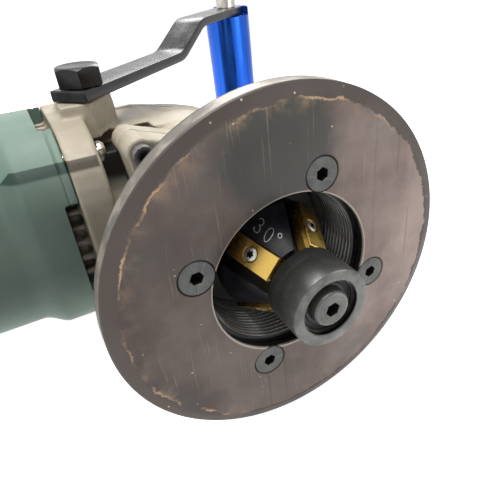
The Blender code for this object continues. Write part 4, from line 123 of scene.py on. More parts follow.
HANDLE_REACH = 0.1565
HANDLE_RADIUS = 0.0145
HANDLE_LIP = 0.0070
HANDLE_TOP = BAR_TOP + BAR_RISE

# For the meshes here alone: the rounding of fine edges and a cut's overrun, in metres, and a quarter turn
EDGE_BEVEL = 0.0003
CONE_BEVEL = 0.00012
OVERRUN = 0.001
QUARTER = math.pi / 2

# Finishes' own values: half the spread of a gloss, and the bands that a lathe leaves, per metre
GLOSS_SPREAD = 0.06
LATHE_BANDS = 5200.0
SCREW_BANDS = 2600.0


def around(radius, azimuth, back):
    """A point at an azimuth from +X towards +Z about the spindle."""
    return Vector((radius * math.cos(azimuth), back, radius * math.sin(azimuth)))


def insert_frame(azimuth):
    """A frame on the cone: X across, Y along to the big end, Z outward."""
    outward = Vector((math.cos(azimuth), 0, math.sin(azimuth)))
    back = Vector((0, 1, 0))
    along = outward * math.sin(CONE_ANGLE) + back * math.cos(CONE_ANGLE)
    normal = outward * math.cos(CONE_ANGLE) - back * math.sin(CONE_ANGLE)
    middle = outward * (CONE_SMALL + CONE_BIG) / 2 + back * (CONE_FRONT + CONE_REAR) / 2
    return Matrix.Translation(middle) @ Matrix((along.cross(normal), along, normal)).transposed().to_4x4()


# Meshes
def turn(bm, profile, steps, place, ring=False):
    """Turns (radius, height) points about the local Z axis of place."""
    rows = []
    for radius, height in profile:
        if radius < 1e-7:
            rows.append([bm.verts.new(place @ Vector((0, 0, height)))])
        else:
            rows.append([bm.verts.new(place @ Vector((radius * math.cos(math.tau * k / steps),
                                                      radius * math.sin(math.tau * k / steps), height)))
                         for k in range(steps)])
    for low, high in zip(rows, rows[1:] + ([rows[0]] if ring else [])):
        for k in range(steps):
            after = (k + 1) % steps
            corners = [low[k % len(low)], low[after % len(low)], high[after % len(high)], high[k % len(high)]]
            corners = list(dict.fromkeys(corners))
            if len(corners) > 2:
                bm.faces.new(corners)


def loft(bm, loops, ring=False):
    """Skins rings of points that have equal counts, with an end face on both ends or as a closed ring."""
    rows = [[bm.verts.new(point) for point in loop] for loop in loops]
    count = len(rows[0])
    for low, high in zip(rows, rows[1:] + ([rows[0]] if ring else [])):
        for k in range(count):
            bm.faces.new((low[k], low[(k + 1) % count], high[(k + 1) % count], high[k]))
    if not ring:
        bm.faces.new(list(reversed(rows[0])))
        bm.faces.new(rows[-1])


def closed(*points):
    """A profile whose ends are brought in to the axis."""
    return [(0, points[0][1]), *points, (0, points[-1][1])]


def rod(radius, low, high):
    """A plain rod's profile."""
    return closed((radius, low), (radius, high))


def prism(bm, outline, low, high, place=ALONG_Z):
    """A straight prism of (u, v) points between two heights."""
    loft(bm, [[place @ Vector((u, v, height)) for u, v in outline] for height in (low, high)])


def regular(sides, radius, turned=0.0):
    """The corners of a regular polygon."""
    angles = [turned + math.tau * k / sides for k in range(sides)]
    return [(radius * math.cos(angle), radius * math.sin(angle)) for angle in angles]


def lobed(radius, depth, steps=48):
    """A six-lobed screw recess."""
    points = []
    for k in range(steps):
        angle = math.tau * k / steps
        reach = radius + depth * math.cos(6 * angle)
        points.append((reach * math.cos(angle), reach * math.sin(angle)))
    return points


def solid(name, bm):
    """An object in the tool's frame from a bmesh."""
    bmesh.ops.recalc_face_normals(bm, faces=bm.faces)
    mesh = bpy.data.meshes.new(name)
    bm.to_mesh(mesh)
    bm.free()
    obj = bpy.data.objects.new(name, mesh)
    bpy.context.scene.collection.objects.link(obj)
    obj.matrix_world = TOOL
    return obj


def apply_all(obj):
    """Turns an object's modifiers into its mesh."""
    bpy.context.view_layer.update()
    depsgraph = bpy.context.evaluated_depsgraph_get()
    mesh = bpy.data.meshes.new_from_object(obj.evaluated_get(depsgraph))
    old = obj.data
    obj.modifiers.clear()
    obj.data = mesh
    bpy.data.meshes.remove(old)


def carve(obj, bm, operation="DIFFERENCE"):
    """Cuts a bmesh out of an object, joins it on, or keeps what both share."""
    tool = solid("carver", bm)
    change = obj.modifiers.new("carve", "BOOLEAN")
    change.object = tool
    change.operation = operation
    change.solver = "EXACT"
    apply_all(obj)
    bpy.data.objects.remove(tool)


def turned(name, profile, steps, place, ring=False):
    """A turned piece."""
    bm = bmesh.new()
    turn(bm, profile, steps, place, ring)
    return solid(name, bm)


def carve_turned(obj, profile, steps, places, operation="DIFFERENCE"):
    """Carves with a turned shape at each place."""
    bm = bmesh.new()
    for place in places:
        turn(bm, profile, steps, place)
    carve(obj, bm, operation)


def carve_prism(obj, outline, span, places):
    """Cuts a prism out of an object at each place."""
    bm = bmesh.new()
    for place in places:
        prism(bm, outline, *span, place)
    carve(obj, bm)


def smooth(obj, degrees):
    """Smooth shading with sharp edges over an angle."""
    obj.data.shade_smooth()
    obj.data.set_sharp_from_angle(angle=math.radians(degrees))


def bevel(obj, width, segments, degrees):
    """Rounds the sharp edges."""
    change = obj.modifiers.new("edges", "BEVEL")
    change.width = width
    change.segments = segments
    change.limit_method = "ANGLE"
    change.angle_limit = math.radians(degrees)
    change.use_clamp_overlap = True
    change.harden_normals = False


def dress(obj, material, node):
    """Gives a piece its finish and body, and lets it stand for its node."""
    obj.data.materials.clear()
    obj.data.materials.append(material)
    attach(obj, BODY_OF[node])
    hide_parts(node)


# Materials
class Finish:
    """A Principled material and the nodes that vary it over the object's own coordinates."""

    def __init__(self, name, roughness, metallic, specular=0.5):
        self.material = bpy.data.materials.new(name)
        self.material.use_nodes = True
        self.tree = self.material.node_tree
        self.shader = self.tree.nodes["Principled BSDF"]
        self.shader.inputs["Roughness"].default_value = roughness
        self.shader.inputs["Metallic"].default_value = metallic
        self.shader.inputs["Specular IOR Level"].default_value = specular
        self.place = self.new("ShaderNodeTexCoord").outputs["Object"]
        self.height = None

    def new(self, kind, **values):
        node = self.tree.nodes.new(kind)
        for key, value in values.items():
            setattr(node, key, value)
        return node

    def feed(self, socket, value):
        if isinstance(value, bpy.types.NodeSocket):
            self.tree.links.new(value, socket)
        else:
            socket.default_value = value

    def stretched(self, scale, turned=(0, 0, 0), moved=(0, 0, 0)):
        node = self.new("ShaderNodeMapping")
        self.feed(node.inputs["Vector"], self.place)
        node.inputs["Scale"].default_value = scale
        node.inputs["Rotation"].default_value = turned
        node.inputs["Location"].default_value = moved
        return node.outputs["Vector"]

    def noise(self, scale, detail=4.0, roughness=0.55, vector=None):
        node = self.new("ShaderNodeTexNoise")
        self.feed(node.inputs["Vector"], self.place if vector is None else vector)
        node.inputs["Scale"].default_value = scale
        node.inputs["Detail"].default_value = detail
        node.inputs["Roughness"].default_value = roughness
        return node.outputs["Fac"]

    def combined(self, *values):
        node = self.new("ShaderNodeCombineXYZ")
        for socket, value in zip(node.inputs, values):
            self.feed(socket, value)
        return node.outputs[0]

    def maths(self, operation, first, second=0.0):
        node = self.new("ShaderNodeMath", operation=operation)
        for socket, value in zip(node.inputs, (first, second)):
            self.feed(socket, value)
        return node.outputs[0]

    def times(self, first, *others):
        for value in others:
            first = self.maths("MULTIPLY", first, value)
        return first

    def span(self, value, low, high, to_low=0.0, to_high=1.0, kind="SMOOTHSTEP"):
        node = self.new("ShaderNodeMapRange", interpolation_type=kind)
        for key, item in zip(("Value", "From Min", "From Max", "To Min", "To Max"),
                             (value, low, high, to_low, to_high)):
            self.feed(node.inputs[key], item)
        return node.outputs["Result"]

    def mix(self, factor, first, second, blend="MIX"):
        node = self.new("ShaderNodeMix", data_type="RGBA", blend_type=blend)
        self.feed(node.inputs[0], factor)
        self.feed(node.inputs[6], (*first, 1) if isinstance(first, tuple) else first)
        self.feed(node.inputs[7], (*second, 1) if isinstance(second, tuple) else second)
        return node.outputs[2]

    def axes(self):
        node = self.new("ShaderNodeSeparateXYZ")
        self.feed(node.inputs[0], self.place)
        return node.outputs

    def radius(self, x, y):
        return self.maths("SQRT", self.maths("ADD", self.times(x, x), self.times(y, y)))

    def within(self, value, rise, fall):
        """1 between two soft edges, each given as where it is 0 and where it is 1."""
        return self.times(self.span(value, *rise), self.span(value, *fall))

    def region(self, edges):
        """1 inside soft edges, given as such pairs for X, for Y and for Z."""
        spans = [self.span(value, *pair) for value, pairs in zip(self.axes(), edges) for pair in pairs]
        return self.times(*spans)

    def waver(self, scale, amount, detail=4.0, roughness=0.55):
        """A wandering length about zero."""
        return self.times(self.maths("SUBTRACT", self.noise(scale, detail, roughness), 0.5), amount)

    def patches(self, scale, low, high, first, second, detail=4.0, roughness=0.55):
        """Two colours in soft patches."""
        return self.mix(self.span(self.noise(scale, detail, roughness), low, high), first, second)

    def uneven(self, scale, low, high, detail=4.0):
        """A roughness that varies in soft patches."""
        self.dull(self.span(self.noise(scale, detail), 0.3, 0.7, low, high))

    def colour(self, value):
        self.feed(self.shader.inputs["Base Color"], (*value, 1) if isinstance(value, tuple) else value)

    def dull(self, value):
        self.feed(self.shader.inputs["Roughness"], value)

    def relief(self, height, distance, strength=1.0):
        node = self.new("ShaderNodeBump")
        node.inputs["Strength"].default_value = strength
        node.inputs["Distance"].default_value = distance
        self.feed(node.inputs["Height"], height)
        if self.height is not None:
            self.feed(node.inputs["Normal"], self.height)
        self.height = node.outputs["Normal"]
        self.feed(self.shader.inputs["Normal"], self.height)


def varied(name, first, second, roughness, metallic, scale=60.0, **more):
    """A finish of two tones in soft patches, with fine grain and uneven gloss."""
    made = Finish(name, roughness, metallic, **more)
    made.colour(made.patches(scale, 0.35, 0.65, first, second))
    made.uneven(scale * 2.3, roughness - GLOSS_SPREAD, roughness + GLOSS_SPREAD, 5.0)
    made.relief(made.noise(900.0, 2.0), 0.00001)
    return made.material


# The guide plate's marks, in metres: a range is given as where a mark is nothing and where it is full
STAIN_X, STAIN_Z = -0.0030, 0.0480
STAIN_EDGE = (0.0260, 0.0160)
# Painted light: the slant and the ends of a shading that darkens the face towards -X and brightens it towards +X
PAINTED_LIGHT_SLANT = 0.15
PAINTED_LIGHT_LEFT, PAINTED_LIGHT_RIGHT = -0.055, 0.050
HAZE_LEFT_SLANT = 0.6
HAZE_LEFT = (-0.030, 0.030)
HAZE_EDGE = (0.0535, 0.0600)
RIM_EDGE = (0.0599, 0.0606)
RUST_LINE = ((0.0592, 0.0599), (0.0604, 0.0599))
SIDE_EDGE = (PLATE_RADIUS - 0.0002, PLATE_RADIUS - 0.00005)
SIDE_BAND = ((0.0012, 0.0022), (0.0072, 0.0062))
BORE_EDGE = (PLATE_BORE + 0.0009, PLATE_BORE + 0.0004)
# Painted shade: inside the register and deeper than this, the bore walls are painted near black
REGISTER_EDGE = (PLATE_REGISTER + 0.0006, PLATE_REGISTER)
REGISTER_DEPTH = (0.0006, 0.0012)
# Stretch, turn, detail, noise range, share and colour of each kind of scratch
PLATE_SCRATCHES = (
    ((900, 60, 26), 0.0, 3.0, (0.60, 0.78), 0.55, (0.30, 0.25, 0.22)),
    ((420, 30, 9), 0.35, 2.0, (0.64, 0.76), 0.5, (0.065, 0.055, 0.050)),
    ((2200, 60, 34), -0.9, 1.0, (0.70, 0.80), 0.5, (0.36, 0.31, 0.27)))


def plate_steel():
    """Blackened ground steel: brown cast, dark rim, tan rust line, scratches and nicks, with painted light that
    brightens the face towards +X and painted shade that blackens its bore and register walls.
    """
    made = Finish("plate_steel", 0.42, 0.45, specular=0.4)
    x, y, z = made.axes()
    radius = made.radius(x, z)
    colour = made.patches(28.0, 0.32, 0.68, (0.105, 0.078, 0.070), (0.190, 0.148, 0.132), 6.0, 0.6)
    smudge = made.noise(34.0, 5.0, 0.6, vector=made.stretched((1, 1, 1), moved=(0.31, 0.2, 0.17)))
    colour = made.mix(made.span(smudge, 0.54, 0.66, 0, 0.6), colour, (0.098, 0.096, 0.086))
    away = made.radius(made.maths("SUBTRACT", x, STAIN_X), made.maths("SUBTRACT", z, STAIN_Z))
    stain = made.span(made.maths("ADD", away, made.waver(38.0, 0.022, 5.0, 0.6)), *STAIN_EDGE, 0, 0.9)
    colour = made.mix(stain, colour, (0.062, 0.063, 0.057))
    # Painted light: the face turns darker towards -X and much lighter towards +X
    slope = made.maths("SUBTRACT", x, made.times(z, PAINTED_LIGHT_SLANT))
    tone = made.times(made.span(slope, PAINTED_LIGHT_LEFT, 0.0, 0.62, 0.80, kind="LINEAR"),
                      made.span(slope, 0.0, PAINTED_LIGHT_RIGHT, 1.0, 2.15, kind="LINEAR"))
    colour = made.mix(1.0, colour, tone, "MULTIPLY")
    for stretch, angle, detail, reach, share, tint in PLATE_SCRATCHES:
        lines = made.noise(1.0, detail, vector=made.stretched(stretch, turned=(0, angle, 0)))
        colour = made.mix(made.span(lines, *reach, 0, share), colour, tint)
    upper_left = made.span(made.maths("SUBTRACT", made.times(z, HAZE_LEFT_SLANT), x), *HAZE_LEFT)
    edge = made.maths("ADD", radius, made.waver(85.0, 0.0080, 6.0, 0.7))
    cloudy = made.span(made.noise(55.0, 5.0, 0.65), 0.46, 0.66)
    haze = made.times(made.span(edge, *HAZE_EDGE), cloudy, upper_left, 0.55)
    colour = made.mix(haze, colour, (0.33, 0.225, 0.135))
    colour = made.mix(made.span(edge, *RIM_EDGE), colour, (0.078, 0.062, 0.055))
    patchy = made.noise(60.0, 4.0, vector=made.stretched((1, 1, 1), moved=(0.5, 0, 0.1)))
    patchy = made.times(made.span(patchy, 0.46, 0.60), made.span(upper_left, 0.05, 0.6, 0.15, 0.9))
    colour = made.mix(made.times(made.within(edge, *RUST_LINE), patchy), colour, (0.46, 0.32, 0.185))
    nicks = made.new("ShaderNodeTexVoronoi")
    made.feed(nicks.inputs["Vector"], made.place)
    nicks.inputs["Scale"].default_value = 260.0
    spot = made.times(made.span(nicks.outputs["Distance"], 0.12, 0.05),
                      made.span(made.noise(70.0, 2.0), 0.50, 0.58))
    colour = made.mix(spot, colour, (0.55, 0.48, 0.40))
    side = made.span(radius, *SIDE_EDGE)
    colour = made.mix(side, colour, (0.090, 0.076, 0.066))
    wall = made.patches(120.0, 0.4, 0.6, (0.36, 0.33, 0.285), (0.20, 0.18, 0.155))
    colour = made.mix(made.times(side, made.within(y, *SIDE_BAND)), colour, wall)
    colour = made.mix(made.span(radius, *BORE_EDGE), colour, (0.38, 0.34, 0.30))
    # Painted shade: the bore and register walls behind the face turn near black
    inside = made.times(made.span(radius, *REGISTER_EDGE), made.span(y, *REGISTER_DEPTH))
    made.colour(made.mix(inside, colour, (0.008, 0.008, 0.009)))
    made.uneven(45.0, 0.38, 0.58, 5.0)
    made.relief(made.noise(1.0, 3.0, vector=made.stretched((1400, 90, 40))), 0.00003, 0.6)
    made.relief(made.noise(260.0, 4.0), 0.00006, 0.5)
    return made.material


def turned_steel(name, first, second, roughness=0.32, metallic=0.9, bands=LATHE_BANDS,
                 light=(0.5, 0.5, 0.47)):
    """Lathe-turned steel: fine bands along the axis, and rings on the faces."""
    made = Finish(name, roughness, metallic)
    x, y, z = made.axes()
    along = made.combined(made.times(made.radius(x, z), bands), made.times(y, bands))
    bandy = made.noise(1.0, 2.0, 0.6, vector=along)
    cloud = made.noise(110.0, 5.0, 0.65)
    colour = made.mix(made.span(cloud, 0.3, 0.7), first, second)
    made.colour(made.mix(made.span(bandy, 0.55, 0.8, 0, 0.55), colour, light))
    made.dull(made.span(cloud, 0.3, 0.7, roughness + 0.12, roughness - 0.06))
    made.relief(bandy, 0.00002, 0.7)
    return made.material


# Where the painted shade on the inserts deepens, back along the spindle
INSERT_SHADE_FIRST = (-0.0015, 0.0060)
INSERT_SHADE_SECOND = (0.0060, 0.0125)


def insert_coat():
    """Gold coating: bright towards the small end, darkened to brown towards the big end as painted shade, ground
    lines.
    """
    made = Finish("gold_carbide", 0.30, 0.9)
    depth = made.maths("ADD", made.axes()[1], made.waver(90.0, 0.003))
    # Painted shade: the gold turns brown, then near black, back along the spindle
    colour = made.mix(made.span(depth, *INSERT_SHADE_FIRST), (0.74, 0.50, 0.125), (0.34, 0.195, 0.042))
    colour = made.mix(made.span(depth, *INSERT_SHADE_SECOND), colour, (0.115, 0.072, 0.024))
    lines = made.noise(1.0, 2.0, vector=made.stretched((1100, 110, 1100)))
    made.colour(made.mix(made.span(lines, 0.5, 0.8, 0, 0.25), colour, (0.85, 0.66, 0.26)))
    made.uneven(220.0, 0.24, 0.40)
    made.relief(lines, 0.000005, 0.3)
    return made.material


# Painted shade: a dark band under the line along the near upper corner of housing and flange, and the shade below
# it
CREASE_RUN = (-0.0800, -0.0755)
CREASE_TOP_REAR, CREASE_TOP = 0.0305, 0.0344
CREASE_UPPER = (0.0001, -0.0003)
CREASE_LOWER = (0.0300, 0.0311)
CREASE_NEAR = (0.0850, 0.0780)
CREASE_SEAM = (-0.0440, -0.0450)
SHADE_TOP = (0.0302, 0.0312)
SHADE_NEAR = (0.0960, 0.0700)
SHADE_SEAM = (-0.0428, -0.0436)
SHADE_UPPER = (0.0305, -0.0050)
SHADE_LOWER = (-0.0050, -0.0400)


def painted_crease_shade(made):
    """A painted shade band under the line that runs along the near upper corner of housing and flange."""
    x, y, z = made.axes()
    top = made.span(x, *CREASE_RUN, CREASE_TOP_REAR, CREASE_TOP, kind="LINEAR")
    below = made.maths("SUBTRACT", z, made.maths("MINIMUM", top, CREASE_TOP))
    return made.times(made.span(below, *CREASE_UPPER), made.span(z, *CREASE_LOWER),
                      made.span(y, *CREASE_NEAR), made.span(x, *CREASE_SEAM), 0.92)


def shaded(made, colour, middle, lowest):
    """Painted shade on the near side's lower part, below that band; a lowest share over 1 paints the very bottom
    lighter instead, as painted light.
    """
    x, y, z = made.axes()
    where = made.times(made.span(z, *SHADE_TOP, 1.0, 0.0), made.span(y, *SHADE_NEAR),
                       made.span(x, *SHADE_SEAM))
    depth = made.times(made.span(z, *SHADE_UPPER, 0.66, middle, kind="LINEAR"),
                       made.span(z, *SHADE_LOWER, 1.0, lowest))
    drop = made.times(where, made.maths("SUBTRACT", 1.0, depth))
    return made.mix(1.0, colour, made.maths("SUBTRACT", 1.0, drop), "MULTIPLY")


def housing_plastic():
    """Glass-filled moulded plastic with a fine spark texture, rubbed patches, and painted shade along its near
    upper corner and down its near side, with painted light at the bottom of that side.
    """
    made = Finish("sage_plastic", 0.36, 0.0, specular=0.28)
    colour = made.patches(22.0, 0.35, 0.65, (0.165, 0.245, 0.200), (0.225, 0.305, 0.250), 5.0, 0.6)
    colour = made.mix(made.span(made.noise(75.0, 5.0, 0.7), 0.60, 0.75, 0, 0.4), colour, (0.27, 0.33, 0.285))
    # Painted shade in a band under the near upper corner; below it, painted shade down the near side and painted
    # light at its bottom
    colour = made.mix(painted_crease_shade(made), colour, (0.012, 0.034, 0.025))
    made.colour(shaded(made, colour, 0.40, 3.0))
    made.uneven(50.0, 0.34, 0.48)
    made.relief(made.noise(1500.0, 2.0), 0.00004, 0.5)
    return made.material


# Shadows under the deck, in its step and in the pocket below it: soft edges on X, Y and Z, share and colour
HEAD_SHADOWS = (
    ((((0.0040, 0.0),), ((0.0988, 0.0994), (0.1012, 0.1005)), ((0.0280, 0.0290), (0.0342, 0.0335))),
     1.0, (0.13, 0.10, 0.075)),
    ((((0.0110, 0.0080), (-0.0290, -0.0270)), ((0.1276, 0.1284), (0.1302, 0.1294)), ((0.0300, 0.0310),)),
     1.0, (0.05, 0.04, 0.03)),
    ((((-0.0441, -0.0436), (-0.0200, -0.0290)), ((0.0700, 0.0730), (0.0996, 0.0985)),
      ((0.0100, 0.0180), (0.0345, 0.0325))), 0.96, (0.006, 0.006, 0.006)))


def cast_paint():
    """Beige paint over a die casting: slight orange peel, painted grey-brown shade in its hollows, rubbed edges,
    painted shade along its near upper corner and down its near side, and painted shadows under its deck and in its
    pocket.
    """
    made = Finish("cast_alloy", 0.44, 0.05, specular=0.3)
    base = made.patches(40.0, 0.35, 0.65, (0.42, 0.365, 0.275), (0.56, 0.50, 0.395), 5.0, 0.6)
    base = made.mix(made.span(made.noise(120.0, 5.0, 0.7), 0.60, 0.76, 0, 0.5), base, (0.23, 0.19, 0.145))
    curve = made.new("ShaderNodeNewGeometry").outputs["Pointiness"]
    # Painted shade: hollows and inner corners turn grey-brown
    base = made.mix(made.span(curve, 0.485, 0.44, 0, 0.6), base, (0.13, 0.105, 0.08))
    base = made.mix(made.span(curve, 0.53, 0.60, 0, 0.5), base, (0.66, 0.62, 0.54))
    # Painted shade in a band under the near upper corner, then down the near side
    base = made.mix(painted_crease_shade(made), base, (0.040, 0.029, 0.019))
    base = shaded(made, base, 0.42, 1.0)
    for edges, share, tint in HEAD_SHADOWS:
        base = made.mix(made.times(made.region(edges), share), base, tint)
    made.colour(base)
    made.uneven(65.0, 0.38, 0.56)
    made.relief(made.noise(420.0, 3.0), 0.00012, 0.45)
    return made.material


def anodised():
    """Blue anodised aluminium, glossy, with faint drawn lines along its length."""
    made = Finish("blue_anodised", 0.22, 0.85, specular=0.6)
    lines = made.noise(1.0, 3.0, vector=made.stretched((700, 700, 12)))
    made.colour(made.mix(made.span(lines, 0.3, 0.7), (0.008, 0.075, 0.46), (0.016, 0.12, 0.62)))
    made.uneven(90.0, 0.17, 0.28)
    made.relief(lines, 0.00001, 0.5)
    return made.material


def black_oxide(name="black_oxide", first=(0.010, 0.010, 0.011), second=(0.024, 0.024, 0.025), roughness=0.36,
                specular=0.25, rubbed=(0.20, 0.19, 0.18)):
    """Black oxide on steel: oily patches, fine scratches and bright rubbed edges."""
    made = Finish(name, roughness, 0.0, specular=specular)
    cloud = made.noise(130.0, 5.0, 0.65)
    colour = made.mix(made.span(cloud, 0.3, 0.7), first, second)
    scratches = made.noise(1.0, 2.0, vector=made.stretched((2600, 240, 240), turned=(0.3, 0.2, 0.7)))
    colour = made.mix(made.span(scratches, 0.66, 0.82, 0, 0.3), colour, (0.14, 0.135, 0.13))
    curve = made.new("ShaderNodeNewGeometry").outputs["Pointiness"]
    made.colour(made.mix(made.span(curve, 0.56, 0.66), colour, rubbed))
    made.dull(made.span(cloud, 0.3, 0.7, roughness - 0.08, roughness + 0.1))
    made.relief(made.noise(900.0, 3.0), 0.00002, 0.6)
    return made.material


THREAD_WORN = (THREAD_CREST + 0.00005, THREAD_CREST + 0.00035)
THREAD_EDGE = (THREAD_ROOT + 0.0002, THREAD_ROOT + 0.0005)


def collar_steel():
    """Blackened steel whose inner thread has worn grey crests and dark roots."""
    made = Finish("collar_black", 0.34, 0.35, specular=0.45)
    x, _, z = made.axes()
    radius = made.radius(x, z)
    outer = made.patches(130.0, 0.3, 0.7, (0.014, 0.014, 0.015), (0.034, 0.034, 0.034), 5.0)
    worn = made.patches(260.0, 0.3, 0.7, (0.17, 0.168, 0.16), (0.30, 0.295, 0.28))
    thread = made.mix(made.span(radius, *THREAD_WORN), worn, (0.004, 0.004, 0.004))
    made.colour(made.mix(made.span(radius, *THREAD_EDGE), thread, outer))
    made.uneven(90.0, 0.28, 0.44)
    made.relief(made.noise(900.0, 3.0), 0.00002, 0.6)
    return made.material


ROLLER_SIDE = (0.01365, 0.01385)
# Painted shade: inside this radius and behind this depth the roller's hollow is painted near black
ROLLER_HOLLOW = (0.0128, 0.0124)
ROLLER_HOLLOW_DEPTH = (-0.0220, -0.0216)


def roller_steel():
    """Ground steel, dark on its side, lighter on its ring face, with painted shade that turns its hollow black."""
    made = Finish("roller_steel", 0.33, 0.7, specular=0.45)
    x, y, z = made.axes()
    radius = made.radius(x, z)
    cloud = made.span(made.noise(110.0, 5.0, 0.65), 0.3, 0.7)
    side = made.mix(cloud, (0.045, 0.046, 0.045), (0.11, 0.113, 0.107))
    face = made.mix(cloud, (0.060, 0.062, 0.060), (0.15, 0.153, 0.143))
    colour = made.mix(made.span(radius, *ROLLER_SIDE), face, side)
    # Painted shade in the hollow behind the front face
    inside = made.times(made.span(radius, *ROLLER_HOLLOW), made.span(y, *ROLLER_HOLLOW_DEPTH))
    colour = made.mix(inside, colour, (0.005, 0.005, 0.005))
    rings = made.noise(1.0, 2.0, vector=made.combined(made.times(radius, LATHE_BANDS)))
    made.colour(made.mix(made.span(rings, 0.6, 0.85, 0, 0.3), colour, (0.30, 0.30, 0.28)))
    made.dull(made.span(cloud, 0.0, 1.0, 0.42, 0.26))
    made.relief(rings, 0.00001, 0.5)
    return made.material


FINISH_OF = {
    "sage_plastic": housing_plastic(),
    "cast_alloy": cast_paint(),
    "plate_steel": plate_steel(),
    "black_oxide": black_oxide(),
    "ground_steel": turned_steel("ground_steel", (0.075, 0.080, 0.076), (0.17, 0.18, 0.168)),
    "gold_carbide": insert_coat(),
    "blue_anodised": anodised(),
    "bearing_steel": turned_steel("bearing_steel", (0.45, 0.45, 0.46), (0.58, 0.58, 0.58), 0.22, 1.0),
}
# Two tones, roughness, metallic share and the scale of the patches
PLAIN_FINISHES = {
    "zinc_steel": ((0.62, 0.58, 0.50), (0.50, 0.47, 0.41), 0.28, 0.95, 240.0),
    "core_steel": ((0.20, 0.20, 0.21), (0.30, 0.29, 0.28), 0.45, 0.8, 200.0),
    "copper_wire": ((0.60, 0.25, 0.10), (0.72, 0.34, 0.15), 0.40, 0.9, 300.0),
    "brass": ((0.66, 0.46, 0.18), (0.76, 0.56, 0.26), 0.35, 1.0, 200.0),
    "black_plastic": ((0.022, 0.022, 0.022), (0.036, 0.036, 0.036), 0.50, 0.0, 90.0),
    "black_rubber": ((0.016, 0.016, 0.016), (0.028, 0.027, 0.026), 0.80, 0.0, 150.0),
    "carbon": ((0.035, 0.035, 0.038), (0.06, 0.06, 0.062), 0.60, 0.2, 300.0),
}
for name, values in PLAIN_FINISHES.items():
    FINISH_OF[name] = varied(name, *values)

# Finishes of single pieces, where the photo shows a tone of their own
SCREW_GREY = turned_steel("screw_grey", (0.060, 0.061, 0.060), (0.105, 0.106, 0.100), 0.40, 0.4, SCREW_BANDS,
                          (0.22, 0.215, 0.20))
PILOT_GREY = turned_steel("pilot_grey", (0.085, 0.086, 0.083), (0.15, 0.152, 0.143), 0.38, 0.5, SCREW_BANDS,
                          (0.28, 0.275, 0.26))
ROLLER_STEEL = roller_steel()
RING_STEEL = varied("ring_steel", (0.16, 0.16, 0.155), (0.24, 0.24, 0.225), 0.34, 0.85, 240.0)
BRIGHT_STEEL = varied("bright_steel", (0.46, 0.45, 0.42), (0.33, 0.32, 0.30), 0.40, 0.85, 500.0)
# Painted shade for the faces inside screw sockets
SOCKET_PAINTED_SHADE = varied("socket_painted_shade", (0.004, 0.004, 0.004), (0.009, 0.009, 0.009), 0.70, 0.0, 500.0,
                      specular=0.15)
COLLAR_BLACK = collar_steel()
CONE_BLACK = black_oxide("cone_black", (0.007, 0.007, 0.009), (0.016, 0.016, 0.020), 0.38,
                         rubbed=(0.07, 0.07, 0.07))
BOLT_BLACK = black_oxide("bolt_black", (0.004, 0.004, 0.005), (0.010, 0.010, 0.010), 0.24, 0.30)
BAR_BLACK = black_oxide("bar_black", (0.005, 0.005, 0.006), (0.017, 0.016, 0.016), 0.26, 0.42)
MARK_FILL = varied("mark_fill", (0.62, 0.60, 0.55), (0.40, 0.39, 0.36), 0.45, 0.6, 900.0)

for name, node in NODES.items():
    node.data.materials.clear()
    node.data.materials.append(FINISH_OF[SLOT_OF[name]])

# Fine detail on the nodes that stay
NODES["retaining_ring"].data.materials[0] = RING_STEEL
EDGE_ROUND, RING_EDGE_ROUND = 0.00035, 0.0001
for name in ("tail_cover", "cord_gland", "switch_slider", "lock_button", "handle_screw", "cap_screw_1",
             "cap_screw_2", "cap_screw_3", "cap_screw_4", "collar_lock_screw", "retaining_ring",
             "threaded_sleeve"):
    smooth(NODES[name], 30)
    bevel(NODES[name], RING_EDGE_ROUND if name == "retaining_ring" else EDGE_ROUND, 2, 30)


# The guide plate and its screws. Its edges are (in from the rim or out from the bore, back from the face)
PLATE_FACE_RINGS = 6
PLATE_RIM = ((0.0038, 0.00005), (0.0030, 0.0002), (0.0004, 0.00095), (0, 0.0014))
PLATE_REAR_ROUND = 0.0006
PLATE_BORE_ROUND = 0.0006
PLATE_BORE_EDGE = ((0, 0.0007), (0.0002, 0.0002))
SEAT_RADIUS = SCREW_HEAD + GAP
SEAT_CHAMFER = 0.00025
SEAT_DEPTH = 0.0009
SEAT_FOOT = 0.0040
PLATE_HOLE_RADIUS = 0.0033
SCREW_SUNK = 0.00012
SCREW_PROFILE = ((SCREW_HEAD - 0.0007, SCREW_SUNK), (SCREW_HEAD - 0.00025, 0.0002), (SCREW_HEAD, 0.0005),
                 (SCREW_HEAD, 0.0009), (0.0030, 0.0039), (0.0030, 0.0174), (0.0027, 0.0179))
SCREW_SOCKET, SCREW_SOCKET_DEPTH = 0.0024, 0.0034
SCREW_TURN, SCREW_TURN_STEP = 0.5, 0.9


def screw_place(number):
    """A frame on one of the plate's screws, whose Z axis looks back."""
    return Matrix.Translation(around(SCREW_CIRCLE, SCREW_AZIMUTH + QUARTER * number, 0)) @ ALONG_Y


